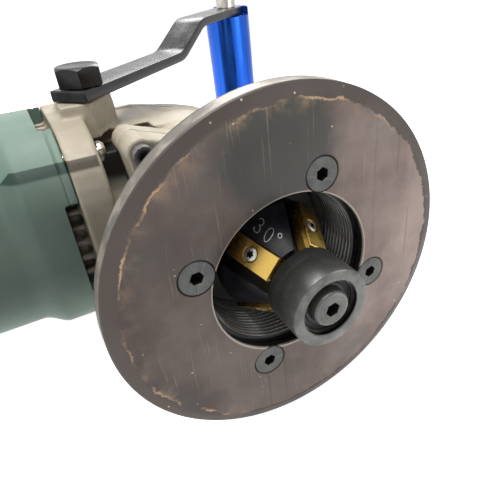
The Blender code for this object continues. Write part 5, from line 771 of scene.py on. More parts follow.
def make_plate():
    bore, reach, thick = PLATE_BORE, PLATE_RADIUS, PLATE_THICK
    inner, outer = bore + PLATE_BORE_ROUND, reach - PLATE_RIM[0][0]
    profile = [(inner + (outer - inner) * step / PLATE_FACE_RINGS, 0) for step in range(PLATE_FACE_RINGS + 1)]
    profile += [(reach - inset, depth) for inset, depth in PLATE_RIM]
    profile += [(reach, thick - PLATE_REAR_ROUND), (reach - PLATE_REAR_ROUND, thick), (PLATE_REGISTER, thick),
                (PLATE_REGISTER, PLATE_LIP), (bore, PLATE_LIP)]
    profile += [(bore + outset, depth) for outset, depth in PLATE_BORE_EDGE]
    plate = turned("guide_plate", profile, 240, ALONG_Y, ring=True)
    seat = closed((SEAT_RADIUS + SEAT_CHAMFER, -OVERRUN), (SEAT_RADIUS + SEAT_CHAMFER, 0),
                  (SEAT_RADIUS, SEAT_CHAMFER), (SEAT_RADIUS, SEAT_DEPTH), (PLATE_HOLE_RADIUS, SEAT_FOOT),
                  (PLATE_HOLE_RADIUS, thick + 1.5 * OVERRUN))
    carve_turned(plate, seat, 64, [screw_place(number) for number in range(4)])
    smooth(plate, 28)
    dress(plate, FINISH_OF["plate_steel"], "base_plate")


# A socket's outline is widened at its mouth and drawn in at its tip, as shares of its own size. Its faces get a
# near-black painted shade within a reach, down to a depth, both shares too, from a start below the face
SOCKET_MOUTH_SHARE = 1.06
SOCKET_TIP_SHARE = 0.55
SOCKET_TIP_DEPTH_SHARE = 1.35
SOCKET_LEAD = 0.00015
SOCKET_SHADE_REACH_SHARE, SOCKET_SHADE_DEPTH_SHARE, SOCKET_SHADE_START = 1.04, 1.5, 0.0002


def socket_head(name, node, profile, place, recess, depth, face, material):
    """A turned screw with a socket of the recess' outline, whose inner faces get painted shade. Its face looks
    along place's -Z.
    """
    screw = turned(name, profile, 64, place)
    levels = ((SOCKET_MOUTH_SHARE, face - OVERRUN / 2), (SOCKET_MOUTH_SHARE, face), (1, face + SOCKET_LEAD),
              (1, face + depth), (SOCKET_TIP_SHARE, face + depth * SOCKET_TIP_DEPTH_SHARE))
    hole = bmesh.new()
    loft(hole, [[place @ Vector((u * share, v * share, height)) for u, v in recess]
                for share, height in levels])
    carve(screw, hole)
    smooth(screw, 30)
    dress(screw, material, node)
    screw.data.materials.append(SOCKET_PAINTED_SHADE)
    back = place.inverted()
    reach = max(math.hypot(u, v) for u, v in recess) * SOCKET_SHADE_REACH_SHARE
    for side in screw.data.polygons:
        spot = back @ side.center
        deep = face + SOCKET_SHADE_START < spot.z < face + depth * SOCKET_SHADE_DEPTH_SHARE
        if deep and math.hypot(spot.x, spot.y) < reach:
            side.material_index = 1


def make_plate_screws():
    for number in range(4):
        place = screw_place(number) @ Matrix.Rotation(SCREW_TURN + SCREW_TURN_STEP * number, 4, "Z")
        socket_head(f"plate_screw_fine_{number + 1}", f"plate_screw_{number + 1}", closed(*SCREW_PROFILE),
                    place, regular(6, SCREW_SOCKET, math.pi / 6), SCREW_SOCKET_DEPTH, SCREW_SUNK, SCREW_GREY)


# The collar, whose thread is cut as a real helix
COLLAR_STEPS = 144
THREAD_TURNS = 10
THREAD_ROWS = 10
THREAD_START = COLLAR_NOSE + 0.0002
THREAD_FINISH = THREAD_START + THREAD_TURNS * THREAD_PITCH
RIDGE_SHARE = 0.42
THREAD_LEAD = THREAD_ROOT + 0.0001
COLLAR_ROUND = ((0.0008, 0), (0.0002, 0.0002), (0, 0.0008))
GROOVES, GROOVE_FIRST, GROOVE_PITCH = 11, 0.0125, 0.0026
GROOVE_HALF, GROOVE_FLOOR_HALF, GROOVE_DEPTH = 0.0008, 0.0004, 0.0004


def thread_radius(azimuth_share, back):
    """The thread's surface at a share of a turn and a place along it. It fades out in the last turn."""
    phase = ((back - THREAD_START) / THREAD_PITCH - azimuth_share) % 1.0
    fade = min(1.0, (THREAD_FINISH - back) / THREAD_PITCH)
    ridge = max(0.0, 1 - abs(phase - 0.5) / RIDGE_SHARE)
    return THREAD_CREST + (THREAD_ROOT - THREAD_CREST) * ridge * max(0.0, fade)


def make_collar():
    seat = PLATE_THICK + GAP
    profile = [(PLATE_REGISTER - GAP, COLLAR_NOSE), (PLATE_REGISTER - GAP, seat)]
    profile += [(COLLAR_OUT - inset, seat + depth) for inset, depth in COLLAR_ROUND]
    for groove in range(GROOVES):
        middle = GROOVE_FIRST + groove * GROOVE_PITCH
        floor = COLLAR_OUT - GROOVE_DEPTH
        profile += [(COLLAR_OUT, middle - GROOVE_HALF), (floor, middle - GROOVE_FLOOR_HALF),
                    (floor, middle + GROOVE_FLOOR_HALF), (COLLAR_OUT, middle + GROOVE_HALF)]
    profile += [(COLLAR_OUT, COLLAR_END - COLLAR_ROUND[0][0]), (COLLAR_OUT - COLLAR_ROUND[0][0], COLLAR_END),
                (WIPER_OUT, COLLAR_END), (WIPER_OUT, WIPER_FRONT), (THREAD_CREST, WIPER_FRONT),
                (THREAD_CREST, THREAD_FINISH)]
    loops = [[around(radius, math.tau * k / COLLAR_STEPS, back) for k in range(COLLAR_STEPS)]
             for radius, back in profile]
    for step in range(1, THREAD_TURNS * THREAD_ROWS + 1):
        back = THREAD_FINISH - (THREAD_FINISH - THREAD_START) * step / (THREAD_TURNS * THREAD_ROWS)
        loops.append([around(thread_radius(k / COLLAR_STEPS, back), math.tau * k / COLLAR_STEPS, back)
                      for k in range(COLLAR_STEPS)])
    loops.append([around(THREAD_LEAD, math.tau * k / COLLAR_STEPS, COLLAR_NOSE)
                  for k in range(COLLAR_STEPS)])
    bm = bmesh.new()
    loft(bm, loops, ring=True)
    collar = solid("depth_collar_fine", bm)
    smooth(collar, 40)
    dress(collar, COLLAR_BLACK, "depth_collar")


# The cutter: cone, pockets, inserts, screws and the engraved angle
CONE_RINGS = 6
CONE_BORE, CONE_BORE_WIDE = 0.0063, 0.0073
CONE_NOSE = ((CONE_BORE, -0.0057), (0.0091, -0.0057), (0.0095, -0.0053), (0.0095, CONE_FRONT),
             (CONE_SMALL - 0.0003, CONE_FRONT))
CONE_TAIL = ((CONE_BIG, 0.0180), (0.0140, 0.0277), (CONE_BORE_WIDE, 0.0277), (CONE_BORE_WIDE, 0.0060),
             (CONE_BORE, 0.0060))
INSERT_HALF = INSERT_WIDE / 2
INSERT_LOW = INSERT_PROUD - INSERT_THICK
POCKET_ROOF = INSERT_PROUD + 0.0015
POCKET_REACH = INSERT_LONG / 2 + 0.002
POCKET_SUNK = INSERT_PROUD - 0.0062 - GAP
BOWL_RADIUS, BOWL_STEPS = 0.0050, 6
POCKET_LIP = ((-INSERT_HALF - 0.0062, POCKET_ROOF), (-INSERT_HALF - 0.0056, POCKET_SUNK + 0.0055))
LENGTHWAYS = Matrix(((1, 0, 0, 0), (0, 0, 1, 0), (0, 1, 0, 0), (0, 0, 0, 1)))


def make_cutter():
    cone = [(CONE_SMALL + (CONE_BIG - CONE_SMALL) * step / CONE_RINGS,
             CONE_FRONT + (CONE_REAR - CONE_FRONT) * step / CONE_RINGS) for step in range(CONE_RINGS + 1)]
    cutter = turned("cutter_cone", [*CONE_NOSE, *cone, *CONE_TAIL], 192, ALONG_Y, ring=True)
    bowl = []
    for step in range(BOWL_STEPS + 1):
        angle = QUARTER * step / BOWL_STEPS
        bowl.append((-INSERT_HALF - BOWL_RADIUS + BOWL_RADIUS * (1 - math.cos(angle)),
                     POCKET_SUNK + BOWL_RADIUS * (1 - math.sin(angle))))
    floor = INSERT_LOW - GAP
    outline = [*POCKET_LIP, *bowl, (-INSERT_HALF - GAP, POCKET_SUNK), (-INSERT_HALF, floor),
               (INSERT_HALF + GAP, floor), (INSERT_HALF + GAP, POCKET_ROOF)]
    carve_prism(cutter, outline, (-POCKET_REACH, POCKET_REACH),
                [insert_frame(INSERT_AZIMUTH + QUARTER * number) @ LENGTHWAYS for number in range(4)])
    smooth(cutter, 28)
    bevel(cutter, CONE_BEVEL, 1, 40)
    dress(cutter, CONE_BLACK, "cutter_head")


# An insert's section: its chip groove is (in from its edge, down from its top)
CHIP_GROOVE = ((0, 0.00012), (0.00035, 0.0004), (0.00085, 0.0008), (0.00105, 0.00125), (0.00085, 0.0017),
               (0.00030, 0.00205), (0, 0.0022), (0, 0.0026), (0.00015, 0.0028))
INSERT_REST = ((-INSERT_HALF + 0.00015, INSERT_LOW + 0.0002), (-INSERT_HALF + 0.00035, INSERT_LOW),
               (INSERT_HALF, INSERT_LOW), (INSERT_HALF, INSERT_PROUD - 0.00015),
               (INSERT_HALF - 0.00015, INSERT_PROUD), (-INSERT_HALF + 0.00012, INSERT_PROUD))
INSERT_END = 0.0003
INSERT_HOLE = ((0.0015, INSERT_LOW - OVERRUN), (0.0015, INSERT_PROUD - 0.0016),
               (0.0029, INSERT_PROUD - 0.0005), (0.0030, INSERT_PROUD + OVERRUN))
INSERT_SCREW_FACE = -(INSERT_PROUD + 0.00010)
INSERT_SCREW_HEAD = ((0, 0), (0.0012, 0.00002), (0.0019, 0.00016), (0.0024, 0.0005), (0.0024, 0.0008),
                     (0.0012, 0.0019))
INSERT_SCREW_TIP = ((0.0012, 0.0074), (0.0009, 0.0077), (0, 0.0077))
LOBE_RADIUS, LOBE_DEPTH, LOBE_SUNK = 0.00118, 0.00024, 0.0010
INSERT_SCREW_TURN = 0.4


def make_inserts():
    outline = [(-INSERT_HALF + inset, INSERT_PROUD - drop) for inset, drop in CHIP_GROOVE] + [*INSERT_REST]
    reach = INSERT_LONG / 2
    ends = ((-reach, INSERT_END), (-reach + INSERT_END, 0), (reach - INSERT_END, 0), (reach, INSERT_END))
    screw = [(radius, INSERT_SCREW_FACE + depth) for radius, depth in INSERT_SCREW_HEAD] + [*INSERT_SCREW_TIP]
    for number in range(4):
        place = insert_frame(INSERT_AZIMUTH + QUARTER * number)
        side = place @ LENGTHWAYS
        bm = bmesh.new()
        loft(bm, [[side @ Vector((u, v - (shrink if v > 0 else 0), along)) for u, v in outline]
                  for along, shrink in ends])
        insert = solid(f"insert_fine_{number + 1}", bm)
        carve_turned(insert, closed(*INSERT_HOLE), 64, [place])
        smooth(insert, 30)
        dress(insert, FINISH_OF["gold_carbide"], f"cutter_insert_{number + 1}")
        down = place @ Matrix.Rotation(math.pi, 4, "X") @ Matrix.Rotation(INSERT_SCREW_TURN + number, 4, "Z")
        socket_head(f"torx_screw_{number + 1}", f"insert_screw_{number + 1}", screw, down,
                    lobed(LOBE_RADIUS, LOBE_DEPTH), LOBE_SUNK, INSERT_SCREW_FACE, BRIGHT_STEEL)


# The engraved marks: glyph, azimuth and place along the spindle, with strokes as shares of a glyph's box
MARKS = (("3", math.radians(112.0), 0.00931), ("0", math.radians(110.6), 0.00534),
         ("degree", math.radians(105.9), 0.00271))
MARK_HEIGHT, MARK_WIDTH, MARK_THICK, MARK_SLANT = 0.0050, 0.0030, 0.00024, 0.0016
MARK_LIFT, MARK_ROOT = 0.00003, 0.0001
STROKE_STEPS = 3


def oval(wide, high, middle, steps):
    """A closed stroke around a glyph's middle line."""
    return [(0.5 + wide * math.cos(math.tau * k / steps), middle + high * math.sin(math.tau * k / steps))
            for k in range(steps + 1)]


STROKE_SHARES = {
    "3": [[(0.02, 0.80), (0.14, 0.95), (0.40, 1.0), (0.68, 0.93), (0.76, 0.76), (0.66, 0.60), (0.38, 0.53)],
          [(0.38, 0.53), (0.72, 0.46), (0.86, 0.28), (0.74, 0.09), (0.42, 0.0), (0.12, 0.05), (0.0, 0.20)]],
    "0": [oval(0.42, 0.5, 0.5, 20)],
    "degree": [oval(0.26, 0.155, 0.78, 14)],
}


def cone_point(azimuth, back, lift):
    """A point on the cone's surface, lifted along its normal."""
    radius = CONE_SMALL + (back - CONE_FRONT) * math.tan(CONE_ANGLE)
    return around(radius + lift * math.cos(CONE_ANGLE), azimuth, back - lift * math.sin(CONE_ANGLE))


def mark_spots(stroke, azimuth, back):
    """A stroke's points as azimuths and places along the spindle."""
    path = [(u + (u2 - u) * step / STROKE_STEPS, v + (v2 - v) * step / STROKE_STEPS)
            for (u, v), (u2, v2) in zip(stroke, stroke[1:]) for step in range(STROKE_STEPS)]
    spots = []
    for u, v in path + [stroke[-1]]:
        here = back - (u - 0.5) * MARK_WIDTH * math.cos(CONE_ANGLE) + (v - 0.5) * MARK_SLANT
        radius = CONE_SMALL + (here - CONE_FRONT) * math.tan(CONE_ANGLE)
        spots.append((azimuth - (v - 0.5) * MARK_HEIGHT / radius, here))
    return spots


def make_engraving():
    """The bevel angle as thin bright strokes laid on the cone."""
    bm = bmesh.new()
    for glyph, azimuth, back in MARKS:
        for stroke in STROKE_SHARES[glyph]:
            spots = mark_spots(stroke, azimuth, back)
            rings = []
            for k, spot in enumerate(spots):
                near, far = spots[max(0, k - 1)], spots[min(len(spots) - 1, k + 1)]
                direction = cone_point(*far, 0) - cone_point(*near, 0)
                normal = (cone_point(*spot, 1) - cone_point(*spot, 0)).normalized()
                side = direction.cross(normal).normalized() * MARK_THICK / 2
                middle = cone_point(*spot, MARK_LIFT)
                below = normal * -MARK_ROOT
                rings.append([middle - side + below, middle - side, middle + side, middle + side + below])
            loft(bm, rings)
    mark = solid("angle_mark", bm)
    mark.data.materials.append(MARK_FILL)
    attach(mark, BODY_OF["cutter_head"])


# The guide roller, its ring and its screw
ROLLER_FRONT, ROLLER_REAR = -0.0224, -0.0062
ROLLER_RADIUS, ROLLER_BORE, RING_GROOVE = 0.0140, 0.0112, 0.0118
ROLLER_PROFILE = (
    (0.0100, ROLLER_FRONT + 0.0003), (0.0103, ROLLER_FRONT), (0.0134, ROLLER_FRONT),
    (0.0138, ROLLER_FRONT + 0.00018), (ROLLER_RADIUS, ROLLER_FRONT + 0.0006), (ROLLER_RADIUS, -0.0118),
    (0.01397, -0.0116), (ROLLER_RADIUS, -0.0114), (ROLLER_RADIUS, ROLLER_REAR - 0.0006),
    (0.0138, ROLLER_REAR - 0.00018), (0.0134, ROLLER_REAR), (ROLLER_BORE, ROLLER_REAR),
    (ROLLER_BORE, -0.0192), (RING_GROOVE, -0.0192), (RING_GROOVE, -0.0206), (ROLLER_BORE, -0.0206),
    (ROLLER_BORE, ROLLER_FRONT + 0.0012),
    (0.0100, ROLLER_FRONT + 0.0012))
RACE_PROFILE = (
    (0.0063, -0.0186), (0.0066, -0.0189), (0.0076, -0.0189), (0.0079, -0.0185), (0.0094, -0.0185),
    (0.0097, -0.0189), (0.0106, -0.0189), (0.0109, -0.0186), (0.0109, -0.0064), (0.0106, -0.0061),
    (0.0066, -0.0061), (0.0063, -0.0064))
PILOT_FACE = -0.0230
PILOT_PROFILE = (
    (0.0050, PILOT_FACE), (0.0056, PILOT_FACE + 0.0001), (0.0061, PILOT_FACE + 0.00045),
    (0.0064, PILOT_FACE + 0.0010), (0.0064, -0.0192), (0.0060, -0.0192), (0.0060, 0.0060), (0.0032, 0.0060),
    (0.0032, 0.0375), (0.0029, 0.0380))
PILOT_SOCKET, PILOT_SOCKET_DEPTH, PILOT_TURN = 0.0026, 0.0034, 0.35


def make_roller():
    for name, node, profile, steps, finish in (
            ("roller_fine", "guide_roller", ROLLER_PROFILE, 192, ROLLER_STEEL),
            ("roller_race", "roller_bearing", RACE_PROFILE, 96, FINISH_OF["black_plastic"])):
        piece = turned(name, profile, steps, ALONG_Y, ring=True)
        smooth(piece, 30)
        dress(piece, finish, node)
    socket_head("pilot_screw_fine", "pilot_screw", closed(*PILOT_PROFILE),
                ALONG_Y @ Matrix.Rotation(PILOT_TURN, 4, "Z"), regular(6, PILOT_SOCKET, math.pi / 6),
                PILOT_SOCKET_DEPTH, PILOT_FACE, PILOT_GREY)


# The bracket bolt, the stepped bar and the handle. The bolt's rounding is (radius, height)
BOLT_PLACE = Matrix.Translation((BOLT_X, BOLT_Y, 0))
BAR_PLACE = BOLT_PLACE @ Matrix.Rotation(BAR_AZIMUTH, 4, "Z")
HANDLE_PLACE = BAR_PLACE @ Matrix.Translation((HANDLE_REACH, 0, 0))
BOLT_FLAT = 0.0085
BOLT_CORNER = 2 * BOLT_FLAT / math.sqrt(3)
BOLT_TURN = math.radians(22)
BOLT_SEAT = BAR_TOP + GAP
BOLT_CROWN = BOLT_SEAT + 0.0080
BOLT_ROUNDING = (
    (BOLT_FLAT + 0.0009, BOLT_SEAT), (BOLT_CORNER + 0.0002, BOLT_SEAT + 0.0006),
    (BOLT_CORNER + 0.0002, BOLT_CROWN - 0.0012), (BOLT_FLAT + 0.00015, BOLT_CROWN - 0.0004),
    (BOLT_FLAT - 0.0003, BOLT_CROWN - 0.0001), (BOLT_FLAT - 0.0011, BOLT_CROWN),
    (BOLT_FLAT - 0.0020, BOLT_CROWN - 0.00025))
BOLT_SHANK, BOLT_ROOT, BOLT_TIP = 0.0050, 0.0043, 0.0042
BOLT_END = BOLT_SEAT - 0.0210
BOLT_THREAD_ROWS, BOLT_THREAD_STEP, BOLT_THREAD_LOW = 20, 0.00075, BOLT_END + 0.0005
BOLT_THREAD_TOP = BOLT_SEAT - 0.0050


def make_bolt():
    bm = bmesh.new()
    prism(bm, regular(6, BOLT_CORNER, BOLT_TURN), BOLT_SEAT, BOLT_CROWN, BOLT_PLACE)
    bolt = solid("bolt_fine", bm)
    change = bolt.modifiers.new("edges", "BEVEL")
    change.width, change.segments = EDGE_BEVEL, 2
    apply_all(bolt)
    carve_turned(bolt, closed(*BOLT_ROUNDING), 96, [BOLT_PLACE], "INTERSECT")
    rows = [(BOLT_TIP, BOLT_END)]
    rows += [(BOLT_ROOT if step % 2 else BOLT_SHANK, BOLT_THREAD_LOW + BOLT_THREAD_STEP * step)
             for step in range(BOLT_THREAD_ROWS)]
    rows += [(BOLT_SHANK, BOLT_THREAD_TOP), (BOLT_SHANK, BOLT_SEAT + 2 * OVERRUN)]
    carve_turned(bolt, closed(*rows), 48, [BOLT_PLACE], "UNION")
    smooth(bolt, 30)
    dress(bolt, BOLT_BLACK, "bracket_bolt")


def rounded_rectangle(half_u, half_v, corner, steps=3):
    """A rectangle with round corners, anticlockwise."""
    points = []
    for quarter in range(4):
        middle = QUARTER * quarter + math.pi / 4
        u = math.copysign(half_u - corner, math.cos(middle))
        v = math.copysign(half_v - corner, math.sin(middle))
        for step in range(steps + 1):
            angle = QUARTER * (quarter + step / steps)
            points.append((u + corner * math.cos(angle), v + corner * math.sin(angle)))
    return points


BAR_NEAR_END = -0.0097
BAR_BEND_REACH, BAR_BEND_STEPS = 0.0045, 8
BAR_EDGE, BAR_END = 0.0007, 0.0006
BAR_BOLT_HOLE, BAR_BOLT_CUT = 0.0053, (0.04, 0.06)
HANDLE_SCREW_HOLE, BAR_SCREW_CUT = 0.0043, (0.05, 0.075)


def make_bar():
    """A flat bar with two soft bends, a square near end and a far end let into the handle."""
    first, second = BAR_BENDS
    raised = BAR_LOW + BAR_RISE
    corners = [Vector((BAR_NEAR_END, BAR_LOW)), Vector((first, BAR_LOW)), Vector((second, raised)),
               Vector((HANDLE_REACH + HANDLE_LIP - GAP, raised))]
    middle = (BAR_TOP - BAR_LOW) / 2
    path = [corners[0]]
    for before, corner, after in zip(corners, corners[1:], corners[2:]):
        start = corner + (before - corner).normalized() * BAR_BEND_REACH
        end = corner + (after - corner).normalized() * BAR_BEND_REACH
        for step in range(BAR_BEND_STEPS + 1):
            share = step / BAR_BEND_STEPS
            path.append(start * (1 - share) ** 2 + corner * 2 * share * (1 - share) + end * share ** 2)
    path.append(corners[3])
    last = len(path) - 1

    def section(centre, up, shrink):
        rows = rounded_rectangle(BAR_HALF - shrink, middle - shrink, BAR_EDGE)
        return [BAR_PLACE @ Vector(((centre + up * v).x, u, (centre + up * v).y)) for u, v in rows]

    loops = []
    for k, point in enumerate(path):
        ahead = (path[min(k + 1, last)] - path[max(k - 1, 0)]).normalized()
        up = Vector((-ahead.y, ahead.x))
        centre = point + Vector((0, middle))
        loops.append(section(centre, up, BAR_END if k in (0, last) else 0.0))
        if k == 0:
            loops.append(section(centre + ahead * BAR_END, up, 0.0))
        if k == last - 1:
            loops.append(section(path[-1] + Vector((0, middle)) - ahead * BAR_END, up, 0.0))
    bm = bmesh.new()
    loft(bm, loops)
    bar = solid("bar_fine", bm)
    holes = bmesh.new()
    turn(holes, rod(BAR_BOLT_HOLE, *BAR_BOLT_CUT), 48, BOLT_PLACE)
    turn(holes, rod(HANDLE_SCREW_HOLE, *BAR_SCREW_CUT), 48, HANDLE_PLACE)
    carve(bar, holes)
    smooth(bar, 35)
    dress(bar, BAR_BLACK, "bracket_bar")


# The handle's edge and ring grooves are (in from its side, up from their start)
HANDLE_EDGE = ((0.0010, 0), (0.0003, 0.0003), (0, 0.0010))
HANDLE_RINGS, RING_FIRST, RING_PITCH = 3, 0.0080, 0.0035
RING_GROOVE_SHAPE = ((0, 0), (0.0004, 0.0004), (0.0004, 0.0010), (0, 0.0014))
HANDLE_HALF_CUT = 0.02
HANDLE_HOLE_DEPTH = 0.025


def make_handle():
    foot = min((TO_TOOL @ vertex.co).z for vertex in NODES["cross_handle"].data.vertices)
    radius = HANDLE_RADIUS
    profile = [(radius - inset, foot + rise) for inset, rise in HANDLE_EDGE]
    for ring in range(HANDLE_RINGS):
        low = foot + RING_FIRST + RING_PITCH * ring
        profile += [(radius - inset, low + rise) for inset, rise in RING_GROOVE_SHAPE]
    profile += [(radius - inset, HANDLE_TOP - drop) for inset, drop in reversed(HANDLE_EDGE)]
    handle = turned("handle_fine", closed(*profile), 160, HANDLE_PLACE)
    wide = HANDLE_HALF_CUT
    carve_prism(handle, [(-wide, -wide), (HANDLE_LIP, -wide), (HANDLE_LIP, wide), (-wide, wide)],
                (HANDLE_TOP - (BAR_TOP - BAR_LOW) - GAP, HANDLE_TOP + 2 * OVERRUN), [HANDLE_PLACE])
    carve_turned(handle, rod(HANDLE_SCREW_HOLE, HANDLE_TOP - HANDLE_HOLE_DEPTH, HANDLE_TOP), 48,
                 [HANDLE_PLACE])
    smooth(handle, 30)
    bevel(handle, EDGE_BEVEL, 2, 45)
    dress(handle, FINISH_OF["blue_anodised"], "cross_handle")


# The motor housing. The edge at its seam is (back from the seam, growth)
SEAM_EDGE = ((0, -0.0004), (0.0004, 0), (0.0024, 0), (0.0027, -0.0003), (0.0031, -0.0003), (0.0034, 0))
LIP_STEPS, FLARE_STEPS, BODY_STEPS = 4, 12, 10
HOUSING_END_ROUND = 0.0005
HOUSING_ROOM = (
    (0.0378, SEAM + OVERRUN), (0.0378, SEAM - 0.0287), (0.0358, SEAM - 0.0287),
    (0.0358, HOUSING_END + 0.0105), (0.0115, HOUSING_END + 0.0105), (0.0115, HOUSING_END + 0.0029),
    (0.0052, HOUSING_END + 0.0029), (0.0052, HOUSING_END - OVERRUN))
VENT_HALF, VENT_CORNER, VENT_CORNER_STEPS = 0.0200, 0.0012, 5
VENT_REAR, VENT_FRONT = SEAM - 0.0052, SEAM + 2 * OVERRUN
VENT_SPANS = ((-0.048, -0.0345), (0.0345, 0.048))
FLANGE_HOLE, FLANGE_HOLE_REAR, FLANGE_HOLE_SIDE, FLANGE_HOLE_UP = 0.0023, 0.018, 0.0300, 0.0335


def make_housing():
    middle = Matrix.Translation((0, MOTOR_BACK, 0))
    axis = middle @ ALONG_X
    lip = SEAM - SEAM_EDGE[-1][0]
    stations = [(SEAM - back, 1.0, growth) for back, growth in SEAM_EDGE]
    stations += [(lip + (FLARE_START - lip) * step / LIP_STEPS, 1.0, 0) for step in range(1, LIP_STEPS + 1)]
    for step in range(1, FLARE_STEPS + 1):
        share = step / FLARE_STEPS
        eased = 1 - (3 * share ** 2 - 2 * share ** 3)
        stations.append((FLARE_START + (BODY_START - FLARE_START) * share, eased, 0))
    stations += [(BODY_START + (HOUSING_END - BODY_START) * step / BODY_STEPS, 0.0, 0)
                 for step in range(1, BODY_STEPS)]
    stations += [(HOUSING_END + HOUSING_END_ROUND, 0.0, 0), (HOUSING_END, 0.0, -HOUSING_END_ROUND)]
    loops = []
    for station, share, growth in stations:
        half = BODY_HALF + (FLANGE_HALF - BODY_HALF) * share + growth
        corner = BODY_CORNER + (FLANGE_CORNER - BODY_CORNER) * share
        loops.append([axis @ Vector((u, v, station)) for u, v in rounded_rectangle(half, half, corner, 12)])
    bm = bmesh.new()
    loft(bm, loops)
    housing = solid("housing_fine", bm)
    carve_turned(housing, closed(*HOUSING_ROOM), 96, [axis])
    outline = [(VENT_FRONT, -VENT_HALF), (VENT_FRONT, VENT_HALF)]
    drops = [(VENT_CORNER * (1 - math.sin(QUARTER * step / VENT_CORNER_STEPS)),
              VENT_CORNER * (1 - math.cos(QUARTER * step / VENT_CORNER_STEPS)))
             for step in range(VENT_CORNER_STEPS + 1)]
    outline += [(VENT_REAR + back, VENT_HALF - aside) for back, aside in drops]
    outline += [(VENT_REAR + back, -VENT_HALF + aside) for aside, back in drops]
    vents = bmesh.new()
    for low, high in VENT_SPANS:
        prism(vents, outline, low, high, middle)
        prism(vents, outline, low, high, middle @ Matrix.Rotation(QUARTER, 4, "X"))
    carve(housing, vents)
    spots = [(0, MOTOR_BACK + side_back * FLANGE_HOLE_SIDE, side_up * FLANGE_HOLE_UP)
             for side_back in (-1, 1) for side_up in (-1, 1)]
    carve_turned(housing, rod(FLANGE_HOLE, SEAM - FLANGE_HOLE_REAR, SEAM + OVERRUN), 24,
                 [Matrix.Translation(spot) @ ALONG_X for spot in spots])
    smooth(housing, 30)
    bevel(housing, EDGE_BEVEL, 2, 50)
    dress(housing, FINISH_OF["sage_plastic"], "motor_housing")


# The gear head's pocket, the slanted side of its boss and its deck: outlines and the spans they are cut over
ACROSS = Matrix(((0, 1, 0, 0), (0, 0, 1, 0), (-1, 0, 0, 0), (0, 0, 0, 1)))
HEAD_POCKET = ((-0.0431, 0.0285), (-0.0431, 0.0343), (-0.0150, 0.0343), (-0.0150, 0.0315), (-0.0188, 0.0293),
               (-0.0198, 0.0285))
HEAD_POCKET_SPAN = (0.0803, 0.0998)
BOSS_SIDE = ((-0.0385, 0.0905), (-0.0385, 0.0803), (0.0200, 0.0803), (0.0200, 0.1350), (-0.0245, 0.1350),
             (-0.0245, 0.1250), (-0.0268, 0.1065))
BOSS_SIDE_SPAN = (0.0346, 0.0510)
DECK_FRONT = ((-0.0470, 0.1000), (-0.0300, 0.1000), (-0.0120, 0.1004), (0.0010, 0.1050), (0.0040, 0.1100),
              (0.0040, 0.1285), (-0.0470, 0.1285))
DECK_FRONT_SPAN = (0.0295, 0.0343)
DECK_REAR = ((-0.0420, 0.1280), (-0.0020, 0.1280), (-0.0020, 0.1340), (-0.0420, 0.1340))
DECK_REAR_SPAN = (0.0280, 0.0352)
ROOF_START, ROOF_BACK, ROOF_TOP, ROOF_FALL = -0.0150, 0.1080, 0.0352, 0.22
HEAD_GRAIN, CAP_GRAIN = 0.0009, 0.0008


def shape_head(cast):
    """Cuts the gear head's pocket and boss side, and joins its deck on."""
    carve_prism(cast, [(-z, x) for x, z in HEAD_POCKET], HEAD_POCKET_SPAN, [ACROSS])
    carve_prism(cast, BOSS_SIDE, BOSS_SIDE_SPAN, [ALONG_Z])
    more = bmesh.new()
    more.from_mesh(cast.data)
    prism(more, DECK_FRONT, *DECK_FRONT_SPAN)
    prism(more, DECK_REAR, *DECK_REAR_SPAN)
    bmesh.ops.recalc_face_normals(more, faces=more.faces)
    more.to_mesh(cast.data)
    more.free()


def make_casting(name, node, grain, rounds, deck=False):
    """A casting's solid with its edges rounded and its corners filled, as a mould leaves them."""
    mesh = NODES[node].data.copy()
    mesh.transform(TO_TOOL)
    cast = bpy.data.objects.new(name, mesh)
    bpy.context.scene.collection.objects.link(cast)
    cast.matrix_world = TOOL
    if deck:
        shape_head(cast)
    remesh = cast.modifiers.new("skin", "REMESH")
    remesh.mode, remesh.voxel_size, remesh.adaptivity = "VOXEL", grain, 0.0
    soften = cast.modifiers.new("soften", "SMOOTH")
    soften.factor, soften.iterations = 0.5, rounds
    apply_all(cast)
    if deck:
        for vertex in cast.data.vertices:
            spot = vertex.co
            roof = ROOF_TOP - (spot.x - ROOF_START) * ROOF_FALL
            if spot.x > ROOF_START and spot.y > ROOF_BACK and spot.z > roof:
                spot.z = roof
    cast.data.shade_smooth()
    dress(cast, FINISH_OF["cast_alloy"], node)


make_plate()
make_plate_screws()
make_collar()
make_cutter()
make_inserts()
make_engraving()
make_roller()
make_bolt()
make_bar()
make_handle()
make_housing()
make_casting("gear_head_cast", "gear_head", HEAD_GRAIN, 3, True)
make_casting("bearing_cap_cast", "bearing_cap", CAP_GRAIN, 2)

# Floor, lights and camera
FLOOR_REACH, FLOOR_DROP, FLOOR_GLOW = 40.0, 0.0003, 0.88
WORLD_LIGHT, WORLD_WHITE = 0.17, 1.0
# Each lamp's place, target, width, height and power, in the tool's frame
LAMPS = {
    "overhead": ((-0.10, 0.05, 0.75), (-0.03, 0.08, 0.0), 0.70, 0.45, 6.8),
    "front_left": ((-0.65, -0.55, 0.35), (0, 0.03, 0), 0.45, 0.45, 1.0),
    "front_right": ((0.60, -0.70, 0.10), (0, 0.0, 0), 0.40, 0.50, 1.7),
    "rear_top": ((0.30, 0.78, 0.52), (-0.03, 0.10, 0.05), 0.40, 0.30, 2.5),
}
CAMERA_SPOT = (-0.0670, -0.1159, 0.0954)
CAMERA_RIGHT = Vector((0.8637, -0.5000, -0.0629))
CAMERA_UP = Vector((0.3124, 0.4334, 0.8453))
CAMERA_BACK = Vector((-0.3954, -0.7498, 0.5305))
CAMERA_LENS, CAMERA_FILM = 35.25, 36.0
CAMERA_SHIFT = (-0.078, 0.016)
CAMERA_CLIP = (0.01, 100.0)


